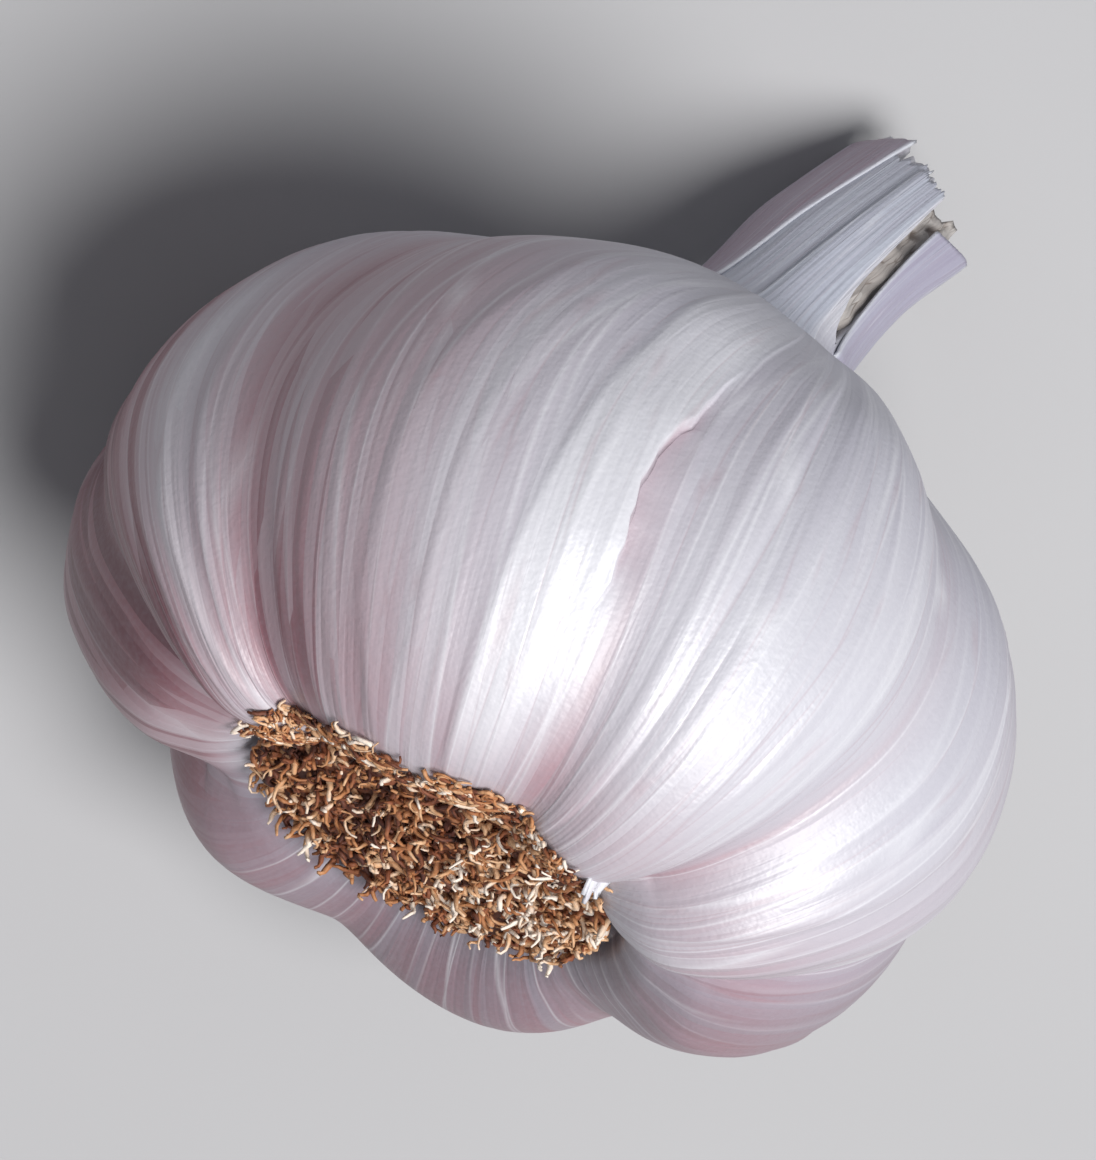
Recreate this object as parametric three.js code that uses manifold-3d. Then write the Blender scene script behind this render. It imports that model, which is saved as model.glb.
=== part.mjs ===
// Garlic bulb lying on its side: eight cloves in papery skin that runs on as a short dried neck, split
// open on one side with the stalk inside it, and the root plate with its mat of dried roots.
// Lengths are millimetres and angles are degrees. The bulb is drawn upright, with the root plate below and
// the neck above, and then laid down on two of its cloves and the tip of its neck.

import * as THREE from "three";
import { mergeVertices } from "three/addons/utils/BufferGeometryUtils.js";
import Module from "manifold-3d";

const wasm = await Module();
wasm.setup();

const { degToRad, lerp, smoothstep } = THREE.MathUtils;

// Crest of the cloves, from the root plate's edge over belly and shoulder and up the neck: distance from
// the middle line, height
const CREST_LINE = [
  [12.4, 3.4],
  [13.3, 2.0],
  [15.5, 0.5],
  [19.3, -0.2],
  [23.6, 1.9],
  [27.5, 6.5],
  [29.8, 12.6],
  [30.1, 18.6],
  [28.6, 25.0],
  [25.3, 30.9],
  [19.9, 35.6],
  [15.2, 38.4],
  [11.2, 39.9],
  [7.6, 41.0],
  [5.9, 43.0],
  [5.2, 46.8],
  [4.9, 51.2],
  [4.7, 56.0],
  [4.5, 63.0],
];

// Furrows between the cloves, in order round the bulb: their angles and depths at foot, belly and shoulder
const FURROWS = [
  { angles: [-56, -99.5, -100], depths: [2.6, 0.7, 0.4] },
  { angles: [-38, -48, -42], depths: [1.6, 1.3, 1.5] },
  { angles: [12, 4, 12], depths: [1.6, 1.0, 0.5] },
  { angles: [38, 46, 46], depths: [2.8, 1.5, 2.5] },
  { angles: [66, 97.5, 106], depths: [3.1, 1.4, 1.4] },
  { angles: [127.5, 147, 156], depths: [2.5, 2.2, 0.8] },
  { angles: [187, 196, 198], depths: [1.2, 2.0, 2.4] },
  { angles: [235.5, 234.5, 236], depths: [4.5, 2.6, 0.8] },
];

// How far the crest of each clove stands over the crest line at foot, belly and shoulder. A clove lies
// between the furrow at the same place in the list above and the next one.
const CLOVE_REACH = [
  [0.3, -0.3, -1.5],
  [0.0, 0.3, 0.0],
  [0.0, -0.2, -0.6],
  [0.4, -0.1, -1.9],
  [-0.4, 1.0, -0.3],
  [0.6, 0.4, -0.6],
  [0.2, -1.0, -0.9],
  [-0.7, 1.8, 0.0],
];

// Foot, belly, shoulder and start of the neck as shares of the crest line's length
const FOOT = 0.1;
const BELLY = 0.4;
const SHOULDER = 0.66;
const NECK = 0.78;

// Furrows and reaches fade out between these shares, on the way to the neck
const RELIEF_END = [0.67, 0.77];

// A clove's back is an arch this steep at the furrows, rounded off over this share of its half width
const ARCH_STEEPNESS = 0.9;
const FURROW_SOFTNESS = 0.16;

// The neck leans over to one side and a little to the back
const LEAN_START = 30.0;
const LEAN_HEIGHT = 28.5;
const LEAN_SIDE = 6.9;
const LEAN_BACK = 6.0;

// Height of the neck's torn upper edge round the bulb, with the split between 22 and 52 degrees: angle,
// height
const NECK_EDGE = [
  [-180, 57.6],
  [-140, 58.8],
  [-90, 61.0],
  [-60, 62.2],
  [-38, 61.6],
  [-32, 59.4],
  [-27, 60.4],
  [-12, 60.1],
  [4, 59.2],
  [20, 58.2],
  [25, 53.5],
  [29, 48.0],
  [36, 45.2],
  [47, 44.0],
  [50, 48.5],
  [53, 55.2],
  [79, 56.6],
  [100, 56.2],
  [125, 56.4],
  [180, 57.6],
];
const NECK_WALL = 0.9;
const NECK_FLOOR = 43.0;

// The sheath stands outwards on both sides of the neck: how far, at which angle, over how many degrees to
// each side, and the heights between which it bends out
const NECK_BENDS = [
  { reach: 1.25, angle: -100, width: 62, start: 42.5, end: 53.0 },
  { reach: 0.8, angle: 95, width: 45, start: 49.5, end: 58.0 },
];

// Ribs of the skin along the cloves, and ridges of the neck
const RIB_HEIGHT = 0.2;
const NECK_RIDGE = 0.2;

// Torn edge of the outer skin beside the third furrow: place along the crest line, place across the clove
const TEAR_CLOVE = 1;
const TEAR_LINE = [
  [0.0, 0.7],
  [0.17, 0.72],
  [0.25, 0.86],
  [0.28, 0.93],
  [0.315, 0.9],
  [0.355, 0.86],
  [0.395, 0.87],
  [0.41, 0.93],
  [0.45, 0.94],
  [0.53, 0.97],
  [1.0, 0.97],
];
const TEAR_GAP = 0.012;
const TEAR_LIFT = 0.5;

// Mesh: columns across a clove, rows from the root plate to the neck, along the neck and down inside it
const CLOVE_COLUMNS = 11;
const BODY_ROWS = 32;
const NECK_ROWS = 8;
const BORE_ROWS = 4;

// Root plate and the roots on it
const PLATE_RADIUS = 11.9;
const PLATE_TOP = 3.1;
const PLATE_FACE = 1.5;
const ROOT_COUNT = 135;
const ROOT_SIDES = 4;
const ROOT_LENGTH = [1.5, 2.7];
const ROOT_RADIUS = [0.46, 0.72];

// Stalk inside the neck
const STALK_GAP = 0.4;
const STALK_COLUMNS = 20;
const STALK_ROWS = 7;
const STALK_TOP = 58.0;

// Loose scale of skin at the foot of the fourth furrow
const SCALE_ANGLE = 46;
const SCALE_DISTANCE = 13.6;
const SCALE_SIZE = [0.8, 2.2, 3.4];

// How the bulb lies: the direction round it that points down, how far its neck points below level, and the
// height of the upright bulb's origin over the floor
const DOWN_ANGLE = 200.4;
const NECK_DROP = 28.9;
const SIT_HEIGHT = 35.65;

// Repeatable random numbers from 0 to 1
function randomSource(seed) {
  let state = seed;
  return () => {
    state = (state + 0x6d2b79f5) | 0;
    let mixed = Math.imul(state ^ (state >>> 15), 1 | state);
    mixed = (mixed + Math.imul(mixed ^ (mixed >>> 7), 61 | mixed)) ^ mixed;
    return ((mixed ^ (mixed >>> 14)) >>> 0) / 4294967296;
  };
}

// Straight-line value at x of a list of [x, value] pairs
function valueAt(pairs, x) {
  for (let i = 1; i < pairs.length; i++) {
    const [before, low] = pairs[i - 1];
    const [after, high] = pairs[i];
    if (x <= after) return lerp(low, high, Math.max(0, (x - before) / (after - before)));
  }
  return pairs[pairs.length - 1][1];
}

const crest = new THREE.CatmullRomCurve3(
  CREST_LINE.map(([distance, height]) => new THREE.Vector3(distance, height, 0)),
  false,
  "catmullrom",
  0.5,
);
crest.arcLengthDivisions = 1200;

// Value at t of three values given at the foot, the belly and the shoulder
function along(values, from, t) {
  const toBelly = smoothstep(t, from, BELLY);
  const toShoulder = smoothstep(t, BELLY, SHOULDER);
  return values[0] + (values[1] - values[0]) * toBelly + (values[2] - values[1]) * toShoulder;
}

// Angle of a furrow at t; counting on past the last furrow goes once round
function furrowAngle(index, t) {
  const turns = Math.floor(index / FURROWS.length);
  return along(FURROWS[index % FURROWS.length].angles, 0.02, t) + 360 * turns;
}

// A furrow's depth or a crest's reach at t, fading out at the root plate and at the neck
function relief(values, t) {
  return along(values, FOOT, t) * smoothstep(t, -0.01, FOOT) * (1 - smoothstep(t, RELIEF_END[0], RELIEF_END[1]));
}

// Arch over a clove from furrow (s = -1) to furrow (s = 1), 0 at the furrows and 1 in the middle
function arch(s) {
  const plain = 1 - Math.abs(s);
  const rounded = plain + FURROW_SOFTNESS * Math.exp(-plain / FURROW_SOFTNESS);
  const rise = (x) => Math.sqrt(Math.max(0, 1 - (ARCH_STEEPNESS * (1 - x)) ** 2));
  const low = rise(FURROW_SOFTNESS);
  return (rise(rounded) - low) / (1 - low);
}

// Height of the skin over the crest line at place s across a clove
function skinHeight(clove, s, t) {
  const left = -relief(FURROWS[clove].depths, t);
  const right = -relief(FURROWS[(clove + 1) % FURROWS.length].depths, t);
  const valley = lerp(left, right, 0.5 + 0.5 * Math.sin((Math.PI / 2) * s));
  return lerp(valley, relief(CLOVE_REACH[clove], t), arch(s));
}

// Sideways shift of the bulb's middle line at a height
function lean(height) {
  const share = Math.max(0, (height - LEAN_START) / LEAN_HEIGHT);
  return [-LEAN_BACK * share ** 2.2, LEAN_SIDE * share ** 1.35];
}

// An angle as one from -180 to 180
function wrapped(angle) {
  return ((((angle + 180) % 360) + 360) % 360) - 180;
}

// Outward bend of the neck's sheath at an angle and a height
function neckBend(angle, height) {
  return NECK_BENDS.reduce((sum, bend) => {
    const across = Math.exp(-((wrapped(angle - bend.angle) / bend.width) ** 2));
    return sum + bend.reach * across * smoothstep(height, bend.start, bend.end);
  }, 0);
}

function neckEdge(angle) {
  return valueAt(NECK_EDGE, wrapped(angle));
}

function pointAt(angle, distance, height) {
  const [shiftX, shiftY] = lean(height);
  const x = distance * Math.cos(degToRad(angle)) + shiftX;
  const y = distance * Math.sin(degToRad(angle)) + shiftY;
  return new THREE.Vector3(x, y, height);
}

// Share of the crest line's length at which the neck reaches a height
function crestShare(height) {
  let low = NECK;
  let high = 1;
  for (let i = 0; i < 24; i++) {
    const middle = (low + high) / 2;
    if (crest.getPointAt(middle).y < height) low = middle;
    else high = middle;
  }
  return low;
}

// A closed surface through rings of points, with a point at the middle of the first and the last ring
function closedRings(rings, first, last) {
  const count = rings[0].length;
  const points = [first, ...rings.flat(), last];
  const index = [];
  const end = points.length - 1;
  for (let c = 0; c < count; c++) {
    const next = (c + 1) % count;
    index.push(0, 1 + next, 1 + c);
    for (let r = 0; r + 1 < rings.length; r++) {
      const a = 1 + r * count + c;
      const b = 1 + r * count + next;
      index.push(a, b, b + count, a, b + count, a + count);
    }
    const top = 1 + (rings.length - 1) * count;
    index.push(end, top + c, top + next);
  }
  const geometry = new THREE.BufferGeometry().setFromPoints(points);
  geometry.setIndex(index);
  return geometry;
}

// Columns of the skin's mesh: the clove, the place across it and the height of the rib that it carries
function skinColumns() {
  const random = randomSource(11);
  const columns = [];
  for (let clove = 0; clove < FURROWS.length; clove++) {
    for (let i = 0; i < CLOVE_COLUMNS; i++) {
      const even = (2 * i) / CLOVE_COLUMNS - 1;
      const place = 0.5 * even + 0.5 * Math.sin((Math.PI / 2) * even);
      const side = i % 2 ? 1 : -0.4;
      columns.push({ clove, place, rib: i ? side * lerp(0.5, 1, random()) : 0, torn: 0 });
    }
    if (clove === TEAR_CLOVE) {
      columns.push({ clove, place: 0.85, rib: 0, torn: -1 });
      columns.push({ clove, place: 0.85, rib: 0, torn: 1 });
    }
  }
  return columns;
}

// Place across the clove of a column at t; the columns of the torn clove make room for the torn edge
function columnPlace(column, t) {
  if (column.clove !== TEAR_CLOVE) return column.place;
  const tear = valueAt(TEAR_LINE, t);
  if (column.torn) return tear + column.torn * TEAR_GAP;
  const share = (column.place + 1) / 2;
  return lerp(-1, tear - 0.06, share * 1.03);
}

// Lift of the outer skin left of its torn edge
function tearLift(column, s, t) {
  if (column.clove !== TEAR_CLOVE || column.torn > 0) return 0;
  const tear = valueAt(TEAR_LINE, t);
  const ends = smoothstep(t, 0.17, 0.29) * (1 - smoothstep(t, 0.44, 0.54));
  return TEAR_LIFT * ends * smoothstep(s, tear - 0.45, tear);
}

function wrappedBulb() {
  const columns = skinColumns();
  const rings = [];
  const outside = (column, t) => {
    const s = columnPlace(column, t);
    const left = furrowAngle(column.clove, t);
    const right = furrowAngle(column.clove + 1, t);
    const angle = lerp(left, right, (s + 1) / 2);
    const on = crest.getPointAt(t);
    const way = crest.getTangentAt(t);
    const ribs = lerp(RIB_HEIGHT, NECK_RIDGE, smoothstep(t, RELIEF_END[0], NECK)) * smoothstep(t, 0.05, 0.16);
    const over = skinHeight(column.clove, s, t) + tearLift(column, s, t) + column.rib * ribs;
    const height = on.y - way.x * over;
    return pointAt(angle, on.x + way.y * over + neckBend(angle, height), height);
  };
  for (let row = 0; row < BODY_ROWS; row++) {
    const share = row / BODY_ROWS;
    const t = NECK * (share - 0.09 * Math.sin(2 * Math.PI * share));
    rings.push(columns.map((column) => outside(column, t)));
  }
  const angles = columns.map((column) => {
    const share = (columnPlace(column, 1) + 1) / 2;
    return lerp(furrowAngle(column.clove, 1), furrowAngle(column.clove + 1, 1), share);
  });
  const ends = angles.map((angle) => crestShare(neckEdge(angle)));
  for (let row = 0; row <= NECK_ROWS; row++) {
    const share = row / NECK_ROWS;
    rings.push(columns.map((column, c) => outside(column, lerp(NECK, ends[c], share))));
  }
  for (let row = 0; row <= BORE_ROWS; row++) {
    const share = row / BORE_ROWS;
    rings.push(
      angles.map((angle) => {
        const height = lerp(neckEdge(angle), NECK_FLOOR, share);
        return pointAt(angle, boreRadius(height) + neckBend(angle, height), height);
      }),
    );
  }
  const seat = new THREE.Vector3(0, 0, CREST_LINE[0][1]);
  return closedRings(rings, seat, pointAt(0, 0, NECK_FLOOR));
}

// Radius of the hollow inside the neck
function boreRadius(height) {
  return crest.getPointAt(crestShare(height)).x - NECK_WALL;
}

// Dried stalk with uneven ridges and a slanting broken top
function stalk() {
  const random = randomSource(5);
  const ridges = Array.from({ length: STALK_COLUMNS }, (_, c) => (c % 2 ? 0.0 : -0.35) - 0.3 * random());
  const rings = [];
  for (let row = 0; row <= STALK_ROWS; row++) {
    const height = lerp(NECK_FLOOR + 0.4, STALK_TOP, row / STALK_ROWS);
    const ring = ridges.map((ridge, c) => {
      const angle = (360 * c) / STALK_COLUMNS;
      const broken = row === STALK_ROWS ? 0.6 * (random() - 0.5) : 0;
      return pointAt(angle, boreRadius(height) - STALK_GAP + ridge, height + broken);
    });
    rings.push(ring);
  }
  return closedRings(rings, pointAt(0, 0, NECK_FLOOR + 0.4), pointAt(0, 0, STALK_TOP - 0.8));
}

// One root: a thin tapering stub that bends over as it grows down from the plate
function root(base, tip, bend, radius) {
  const middle = base.clone().lerp(tip, 0.55).add(bend);
  const curve = new THREE.QuadraticBezierCurve3(base, middle, tip);
  const rings = [0, 0.5, 0.92].map((share) => {
    const centre = curve.getPoint(share);
    const way = curve.getTangent(share);
    const side = new THREE.Vector3(1, 0, 0).cross(way).normalize();
    const other = way.clone().cross(side);
    return Array.from({ length: ROOT_SIDES }, (_, i) => {
      const angle = (2 * Math.PI * i) / ROOT_SIDES;
      const reach = radius * (1 - 0.45 * share);
      const across = side.clone().multiplyScalar(reach * Math.cos(angle));
      return centre.clone().add(across).addScaledVector(other, reach * Math.sin(angle));
    });
  });
  return closedRings(rings, base, tip);
}

// Plate with its roots, which spread outwards and lie over one another
function rootPlate() {
  const random = randomSource(29);
  const profile = [
    [0, PLATE_TOP],
    [0, PLATE_FACE],
    [PLATE_RADIUS - 1.2, PLATE_FACE + 0.1],
    [PLATE_RADIUS, PLATE_FACE + 0.7],
    [PLATE_RADIUS, PLATE_TOP],
    [0, PLATE_TOP],
  ];
  const disc = new THREE.LatheGeometry(
    profile.map(([x, y]) => new THREE.Vector2(x, y)),
    36,
  ).rotateX(Math.PI / 2);
  const solids = [solidOf(disc)];
  for (let i = 0; i < ROOT_COUNT; i++) {
    const angle = i * Math.PI * (3 - Math.sqrt(5)) + 0.5 * random();
    const distance = (PLATE_RADIUS - 0.9) * Math.sqrt((i + 0.5) / ROOT_COUNT);
    const length = lerp(ROOT_LENGTH[0], ROOT_LENGTH[1], random());
    const swing = angle + 2.4 * (random() - 0.5);
    const spread = length * lerp(0.3, 0.9, random());
    const base = new THREE.Vector3(distance * Math.cos(angle), distance * Math.sin(angle), PLATE_FACE + 0.8);
    const tip = new THREE.Vector3(
      base.x + spread * Math.cos(swing),
      base.y + spread * Math.sin(swing),
      PLATE_FACE - length * lerp(0.45, 0.85, random()),
    );
    const reach = Math.hypot(tip.x, tip.y) / (PLATE_RADIUS + 0.5);
    if (reach > 1) tip.set(tip.x / reach, tip.y / reach, tip.z);
    const bend = new THREE.Vector3(random() - 0.5, random() - 0.5, -0.5 * random()).multiplyScalar(2.2);
    solids.push(solidOf(root(base, tip, bend, lerp(ROOT_RADIUS[0], ROOT_RADIUS[1], random()))));
  }
  return wasm.Manifold.union(solids);
}

// Small upright scale, broader at its foot, leaning in over the roots
function skinScale() {
  const [thick, wide, long] = SCALE_SIZE;
  const outline = new THREE.Shape([
    new THREE.Vector2(-wide / 2, 0),
    new THREE.Vector2(wide / 2, 0),
    new THREE.Vector2(wide / 2 - 0.2, -long * 0.7),
    new THREE.Vector2(0.1, -long),
    new THREE.Vector2(-wide / 2 + 0.3, -long * 0.8),
  ]);
  const scale = new THREE.ExtrudeGeometry(outline, { depth: thick, bevelEnabled: false });
  scale.rotateX(Math.PI / 2).rotateZ(Math.PI / 2).rotateY(-0.15);
  scale.translate(SCALE_DISTANCE, 0, 2.9).rotateZ(degToRad(SCALE_ANGLE));
  return scale;
}

// A closed geometry as a solid that can be joined and cut
function solidOf(geometry) {
  const bare = geometry.clone();
  bare.deleteAttribute("normal");
  bare.deleteAttribute("uv");
  const merged = mergeVertices(bare, 1e-4);
  return new wasm.Manifold(
    new wasm.Mesh({
      numProp: 3,
      vertProperties: new Float32Array(merged.getAttribute("position").array),
      triVerts: new Uint32Array(merged.index.array),
    }),
  );
}

function geometryOf(solid) {
  const mesh = solid.getMesh();
  const geometry = new THREE.BufferGeometry();
  geometry.setAttribute("position", new THREE.BufferAttribute(new Float32Array(mesh.vertProperties), 3));
  geometry.setIndex(new THREE.BufferAttribute(new Uint32Array(mesh.triVerts), 1));
  geometry.computeVertexNormals();
  return geometry;
}

const skinMaterial = new THREE.MeshStandardMaterial({ color: 0xe4dcdf, roughness: 0.5, metalness: 0 });
const rootMaterial = new THREE.MeshStandardMaterial({ color: 0xa9795a, roughness: 0.9, metalness: 0 });
const stalkMaterial = new THREE.MeshStandardMaterial({ color: 0xa89a8c, roughness: 0.85, metalness: 0 });

// The upright bulb turns round its middle line first and then tips over onto its side
const upright = new THREE.Group();
upright.rotation.z = degToRad(360 - DOWN_ANGLE);
const lying = new THREE.Group();
lying.rotation.y = degToRad(90 + NECK_DROP);
lying.position.z = SIT_HEIGHT;
lying.add(upright);
const bulb = new THREE.Group();
bulb.add(lying);
bulb.updateMatrixWorld(true);

// The floor presses a small flat on each clove and on the neck where the bulb rests
const floor = new THREE.BoxGeometry(160, 160, 20).translate(0, 0, -10);
floor.applyMatrix4(upright.matrixWorld.clone().invert());
const skin = solidOf(wrappedBulb()).add(solidOf(skinScale())).subtract(solidOf(floor));

const wrappedMesh = new THREE.Mesh(geometryOf(skin), skinMaterial);
wrappedMesh.name = "wrapped_bulb";
const plateMesh = new THREE.Mesh(geometryOf(rootPlate()), rootMaterial);
plateMesh.name = "root_plate";
const stalkMesh = new THREE.Mesh(geometryOf(solidOf(stalk())), stalkMaterial);
stalkMesh.name = "stalk";
upright.add(wrappedMesh, plateMesh, stalkMesh);

// The origin is the middle of the bulb's footprint on the floor
const middle = new THREE.Box3().setFromObject(bulb, true).getCenter(new THREE.Vector3());
lying.position.x = -middle.x;
lying.position.y = -middle.y;

export default bulb;
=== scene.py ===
"""Looks of a garlic bulb that lies on its side.

The bulb is drawn upright, in millimetres, with the root plate below and the neck above, and each finished
piece is then laid down on the floor, in metres, where the solid bulb lies.
"""

import logging
import math
from dataclasses import dataclass, field
from enum import Enum

import bpy
import numpy as np
from mathutils import Matrix, Vector


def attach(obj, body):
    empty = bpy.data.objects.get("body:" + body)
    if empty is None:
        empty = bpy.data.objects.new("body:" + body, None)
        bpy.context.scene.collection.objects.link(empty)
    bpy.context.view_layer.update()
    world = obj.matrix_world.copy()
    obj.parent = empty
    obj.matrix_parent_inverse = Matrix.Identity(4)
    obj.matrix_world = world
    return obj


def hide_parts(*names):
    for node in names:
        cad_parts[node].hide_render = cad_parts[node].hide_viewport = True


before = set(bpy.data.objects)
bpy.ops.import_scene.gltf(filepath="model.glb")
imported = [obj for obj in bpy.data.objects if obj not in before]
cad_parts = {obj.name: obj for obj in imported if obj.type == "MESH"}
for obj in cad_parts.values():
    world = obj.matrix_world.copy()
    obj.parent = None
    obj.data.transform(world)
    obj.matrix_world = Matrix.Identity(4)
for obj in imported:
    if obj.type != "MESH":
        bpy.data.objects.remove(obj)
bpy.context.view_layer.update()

LOG = logging.getLogger("garlic_bulb")
MM = 0.001
# Radius, in millimetres, of the round on which the finish of the skin and the sheaths is read
STREAK_RADIUS = 30.0
WELD_DISTANCE = 1e-7


class RootTone(Enum):
    """Colours of the dried roots, as places from 0 to 1 on the roots' colour ramp."""

    DARK = 0.08
    RED_BROWN = 0.3
    TAN = 0.55
    STRAW = 0.75
    CREAM = 0.95


def smooth(value: np.ndarray, low: float, high: float) -> np.ndarray:
    """Eases from 0 at low to 1 at high.

    Args:
        value: Where to read the curve.
        low: The value up to which the curve is 0.
        high: The value from which the curve is 1.

    Returns:
        The eased share.
    """
    share = np.clip((value - low) / (high - low), 0.0, 1.0)
    return share * share * (3.0 - 2.0 * share)


def wrapped(angle: np.ndarray) -> np.ndarray:
    """Returns an angle as one from -180 to 180 degrees."""
    return np.mod(angle + 180.0, 360.0) - 180.0


@dataclass(frozen=True)
class Placement:
    """How the upright bulb lies on the floor."""

    down_angle: float = 200.4
    neck_drop: float = 28.9
    origin: tuple[float, float, float] = (-21.553, 0.397, 35.65)

    def matrix(self) -> Matrix:
        """Returns the move from the upright bulb to the lying one, in millimetres."""
        tip = Matrix.Rotation(math.radians(90.0 + self.neck_drop), 4, "Y")
        roll = Matrix.Rotation(math.radians(360.0 - self.down_angle), 4, "Z")
        return Matrix.Translation(Vector(self.origin)) @ tip @ roll

    def lay(self, points: np.ndarray) -> np.ndarray:
        """Lays points of the upright bulb down, pressed flat where they meet the floor.

        Args:
            points: Points of the upright bulb in millimetres, one in each row.

        Returns:
            The same points on the floor, in metres.
        """
        move = np.array(self.matrix())
        laid = points @ move[:3, :3].T + move[:3, 3]
        laid[:, 2] = np.maximum(laid[:, 2], 0.0)
        return laid * MM

    def direction(self, vector: Vector) -> Vector:
        """Returns a direction of the upright bulb as it is once the bulb lies."""
        return (self.matrix().to_3x3() @ vector).normalized()


@dataclass(frozen=True)
class Furrow:
    """A furrow between two cloves: its angle and depth at the foot, the belly and the shoulder."""

    angles: tuple[float, float, float]
    depths: tuple[float, float, float]


@dataclass(frozen=True)
class Crease:
    """A long fold of the skin along a clove.

    Its line is given as (place along the crest line, place across the clove). Left and right are the
    widths of its two flanks across the clove, and the height is in millimetres, below 0 for a hollow.
    """

    clove: int
    line: tuple[tuple[float, float], ...]
    height: float
    left: float
    right: float

    def rise(self, clove: np.ndarray, s: np.ndarray, t: np.ndarray) -> np.ndarray:
        """Height that the crease adds.

        Args:
            clove: Number of the clove at each point.
            s: Place across the clove from -1 to 1.
            t: Place along the crest line from 0 to 1.

        Returns:
            The added height in millimetres.
        """
        start, end = self.line[0][0], self.line[-1][0]
        middle = np.interp(t, [p[0] for p in self.line], [p[1] for p in self.line])
        away = s - middle
        width = np.where(away < 0.0, self.left, self.right)
        flank = np.exp(-np.abs(away) / width)
        ends = smooth(t, start - 0.05, start + 0.05) * (1.0 - smooth(t, end - 0.06, end + 0.06))
        return np.where(clove == self.clove, self.height * flank * ends, 0.0)


@dataclass
class BulbForm:
    """Shape of the upright bulb: crest line, furrows, cloves and lean, in millimetres and degrees."""

    crest_line: tuple[tuple[float, float], ...] = (
        (12.4, 3.4), (13.3, 2.0), (15.5, 0.5), (19.3, -0.2), (23.6, 1.9), (27.5, 6.5), (29.8, 12.6),
        (30.1, 18.6), (28.6, 25.0), (25.3, 30.9), (19.9, 35.6), (15.2, 38.4), (11.2, 39.9), (7.6, 41.0),
        (5.9, 43.0), (5.2, 46.8), (4.9, 51.2), (4.7, 56.0), (4.5, 63.0),
    )
    furrows: tuple[Furrow, ...] = (
        Furrow((-56.0, -99.5, -100.0), (2.6, 0.7, 0.4)),
        Furrow((-38.0, -48.0, -42.0), (1.6, 1.3, 1.5)),
        Furrow((12.0, 4.0, 12.0), (1.6, 1.0, 0.5)),
        Furrow((38.0, 46.0, 46.0), (2.8, 1.5, 2.5)),
        Furrow((66.0, 97.5, 106.0), (3.1, 1.4, 1.4)),
        Furrow((127.5, 147.0, 156.0), (2.5, 2.2, 0.8)),
        Furrow((187.0, 196.0, 198.0), (1.2, 2.0, 2.4)),
        Furrow((235.5, 234.5, 236.0), (4.5, 2.6, 0.8)),
    )
    reach: tuple[tuple[float, float, float], ...] = (
        (0.3, -0.3, -1.5),
        (0.0, 0.3, 0.0),
        (0.0, -0.2, -0.6),
        (0.4, -0.1, -1.9),
        (-0.4, 1.0, -0.3),
        (0.6, 0.4, -0.6),
        (0.2, -1.0, -0.9),
        (-0.7, 1.8, 0.0),
    )
    foot: float = 0.1
    belly: float = 0.4
    shoulder: float = 0.66
    neck: float = 0.78
    relief_end: tuple[float, float] = (0.67, 0.77)
    arch_steepness: float = 0.9
    furrow_softness: float = 0.16
    lean_start: float = 30.0
    lean_height: float = 28.5
    lean_side: float = 6.9
    lean_back: float = 6.0
    table: np.ndarray = field(init=False, repr=False)
    length: float = field(init=False)

    def __post_init__(self) -> None:
        """Samples the crest line as a smooth curve with its directions."""
        knots = np.array(self.crest_line)
        knots = np.vstack([2 * knots[0] - knots[1], knots, 2 * knots[-1] - knots[-2]])
        u = np.linspace(0.0, 1.0, 40, endpoint=False)[:, None]
        spans = []
        for a, b, c, d in zip(knots[:-3], knots[1:-2], knots[2:-1], knots[3:]):
            spans.append(
                0.5 * (2 * b + (c - a) * u + (2 * a - 5 * b + 4 * c - d) * u**2 + (3 * b - a - 3 * c + d) * u**3)
            )
        line = np.vstack([*spans, knots[-2][None]])
        steps = np.linalg.norm(np.diff(line, axis=0), axis=1)
        along = np.concatenate([[0.0], np.cumsum(steps)])
        self.length = float(along[-1])
        share = along / self.length
        way = np.gradient(line, share, axis=0)
        way /= np.linalg.norm(way, axis=1)[:, None]
        self.table = np.column_stack([share, line, way])

    def crest(self, t: np.ndarray) -> tuple[np.ndarray, np.ndarray, np.ndarray, np.ndarray]:
        """Reads the crest line.

        Args:
            t: Place along the crest line from 0 to 1.

        Returns:
            Distance from the middle line, height, and the two parts of the outward direction.
        """
        share, far, height, way_far, way_up = self.table.T
        return (
            np.interp(t, share, far),
            np.interp(t, share, height),
            np.interp(t, share, way_up),
            -np.interp(t, share, way_far),
        )

    def crest_share(self, height: np.ndarray) -> np.ndarray:
        """Returns the place along the crest line at which the neck reaches a height."""
        on_neck = self.table[:, 0] > self.neck - 0.05
        return np.interp(height, self.table[on_neck, 2], self.table[on_neck, 0])

    def along(self, values: np.ndarray, start: float, t: np.ndarray) -> np.ndarray:
        """Blends values given at the foot, the belly and the shoulder.

        Args:
            values: The three values, in the last axis.
            start: Place where the foot's value begins to change.
            t: Place along the crest line.

        Returns:
            The blended value.
        """
        to_belly = smooth(t, start, self.belly)
        to_shoulder = smooth(t, self.belly, self.shoulder)
        first, second, third = values[..., 0], values[..., 1], values[..., 2]
        return first + (second - first) * to_belly + (third - second) * to_shoulder

    def furrow_angle(self, index: np.ndarray, t: np.ndarray) -> np.ndarray:
        """Returns the angle of a furrow; counting on past the last one goes once round."""
        angles = np.array([furrow.angles for furrow in self.furrows])
        count = len(self.furrows)
        return self.along(angles[index % count], 0.02, t) + 360.0 * (index // count)

    def relief(self, values: np.ndarray, t: np.ndarray) -> np.ndarray:
        """Returns a depth or reach that fades out at the root plate and at the neck."""
        fade = smooth(t, -0.01, self.foot) * (1.0 - smooth(t, *self.relief_end))
        return self.along(values, self.foot, t) * fade

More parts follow.
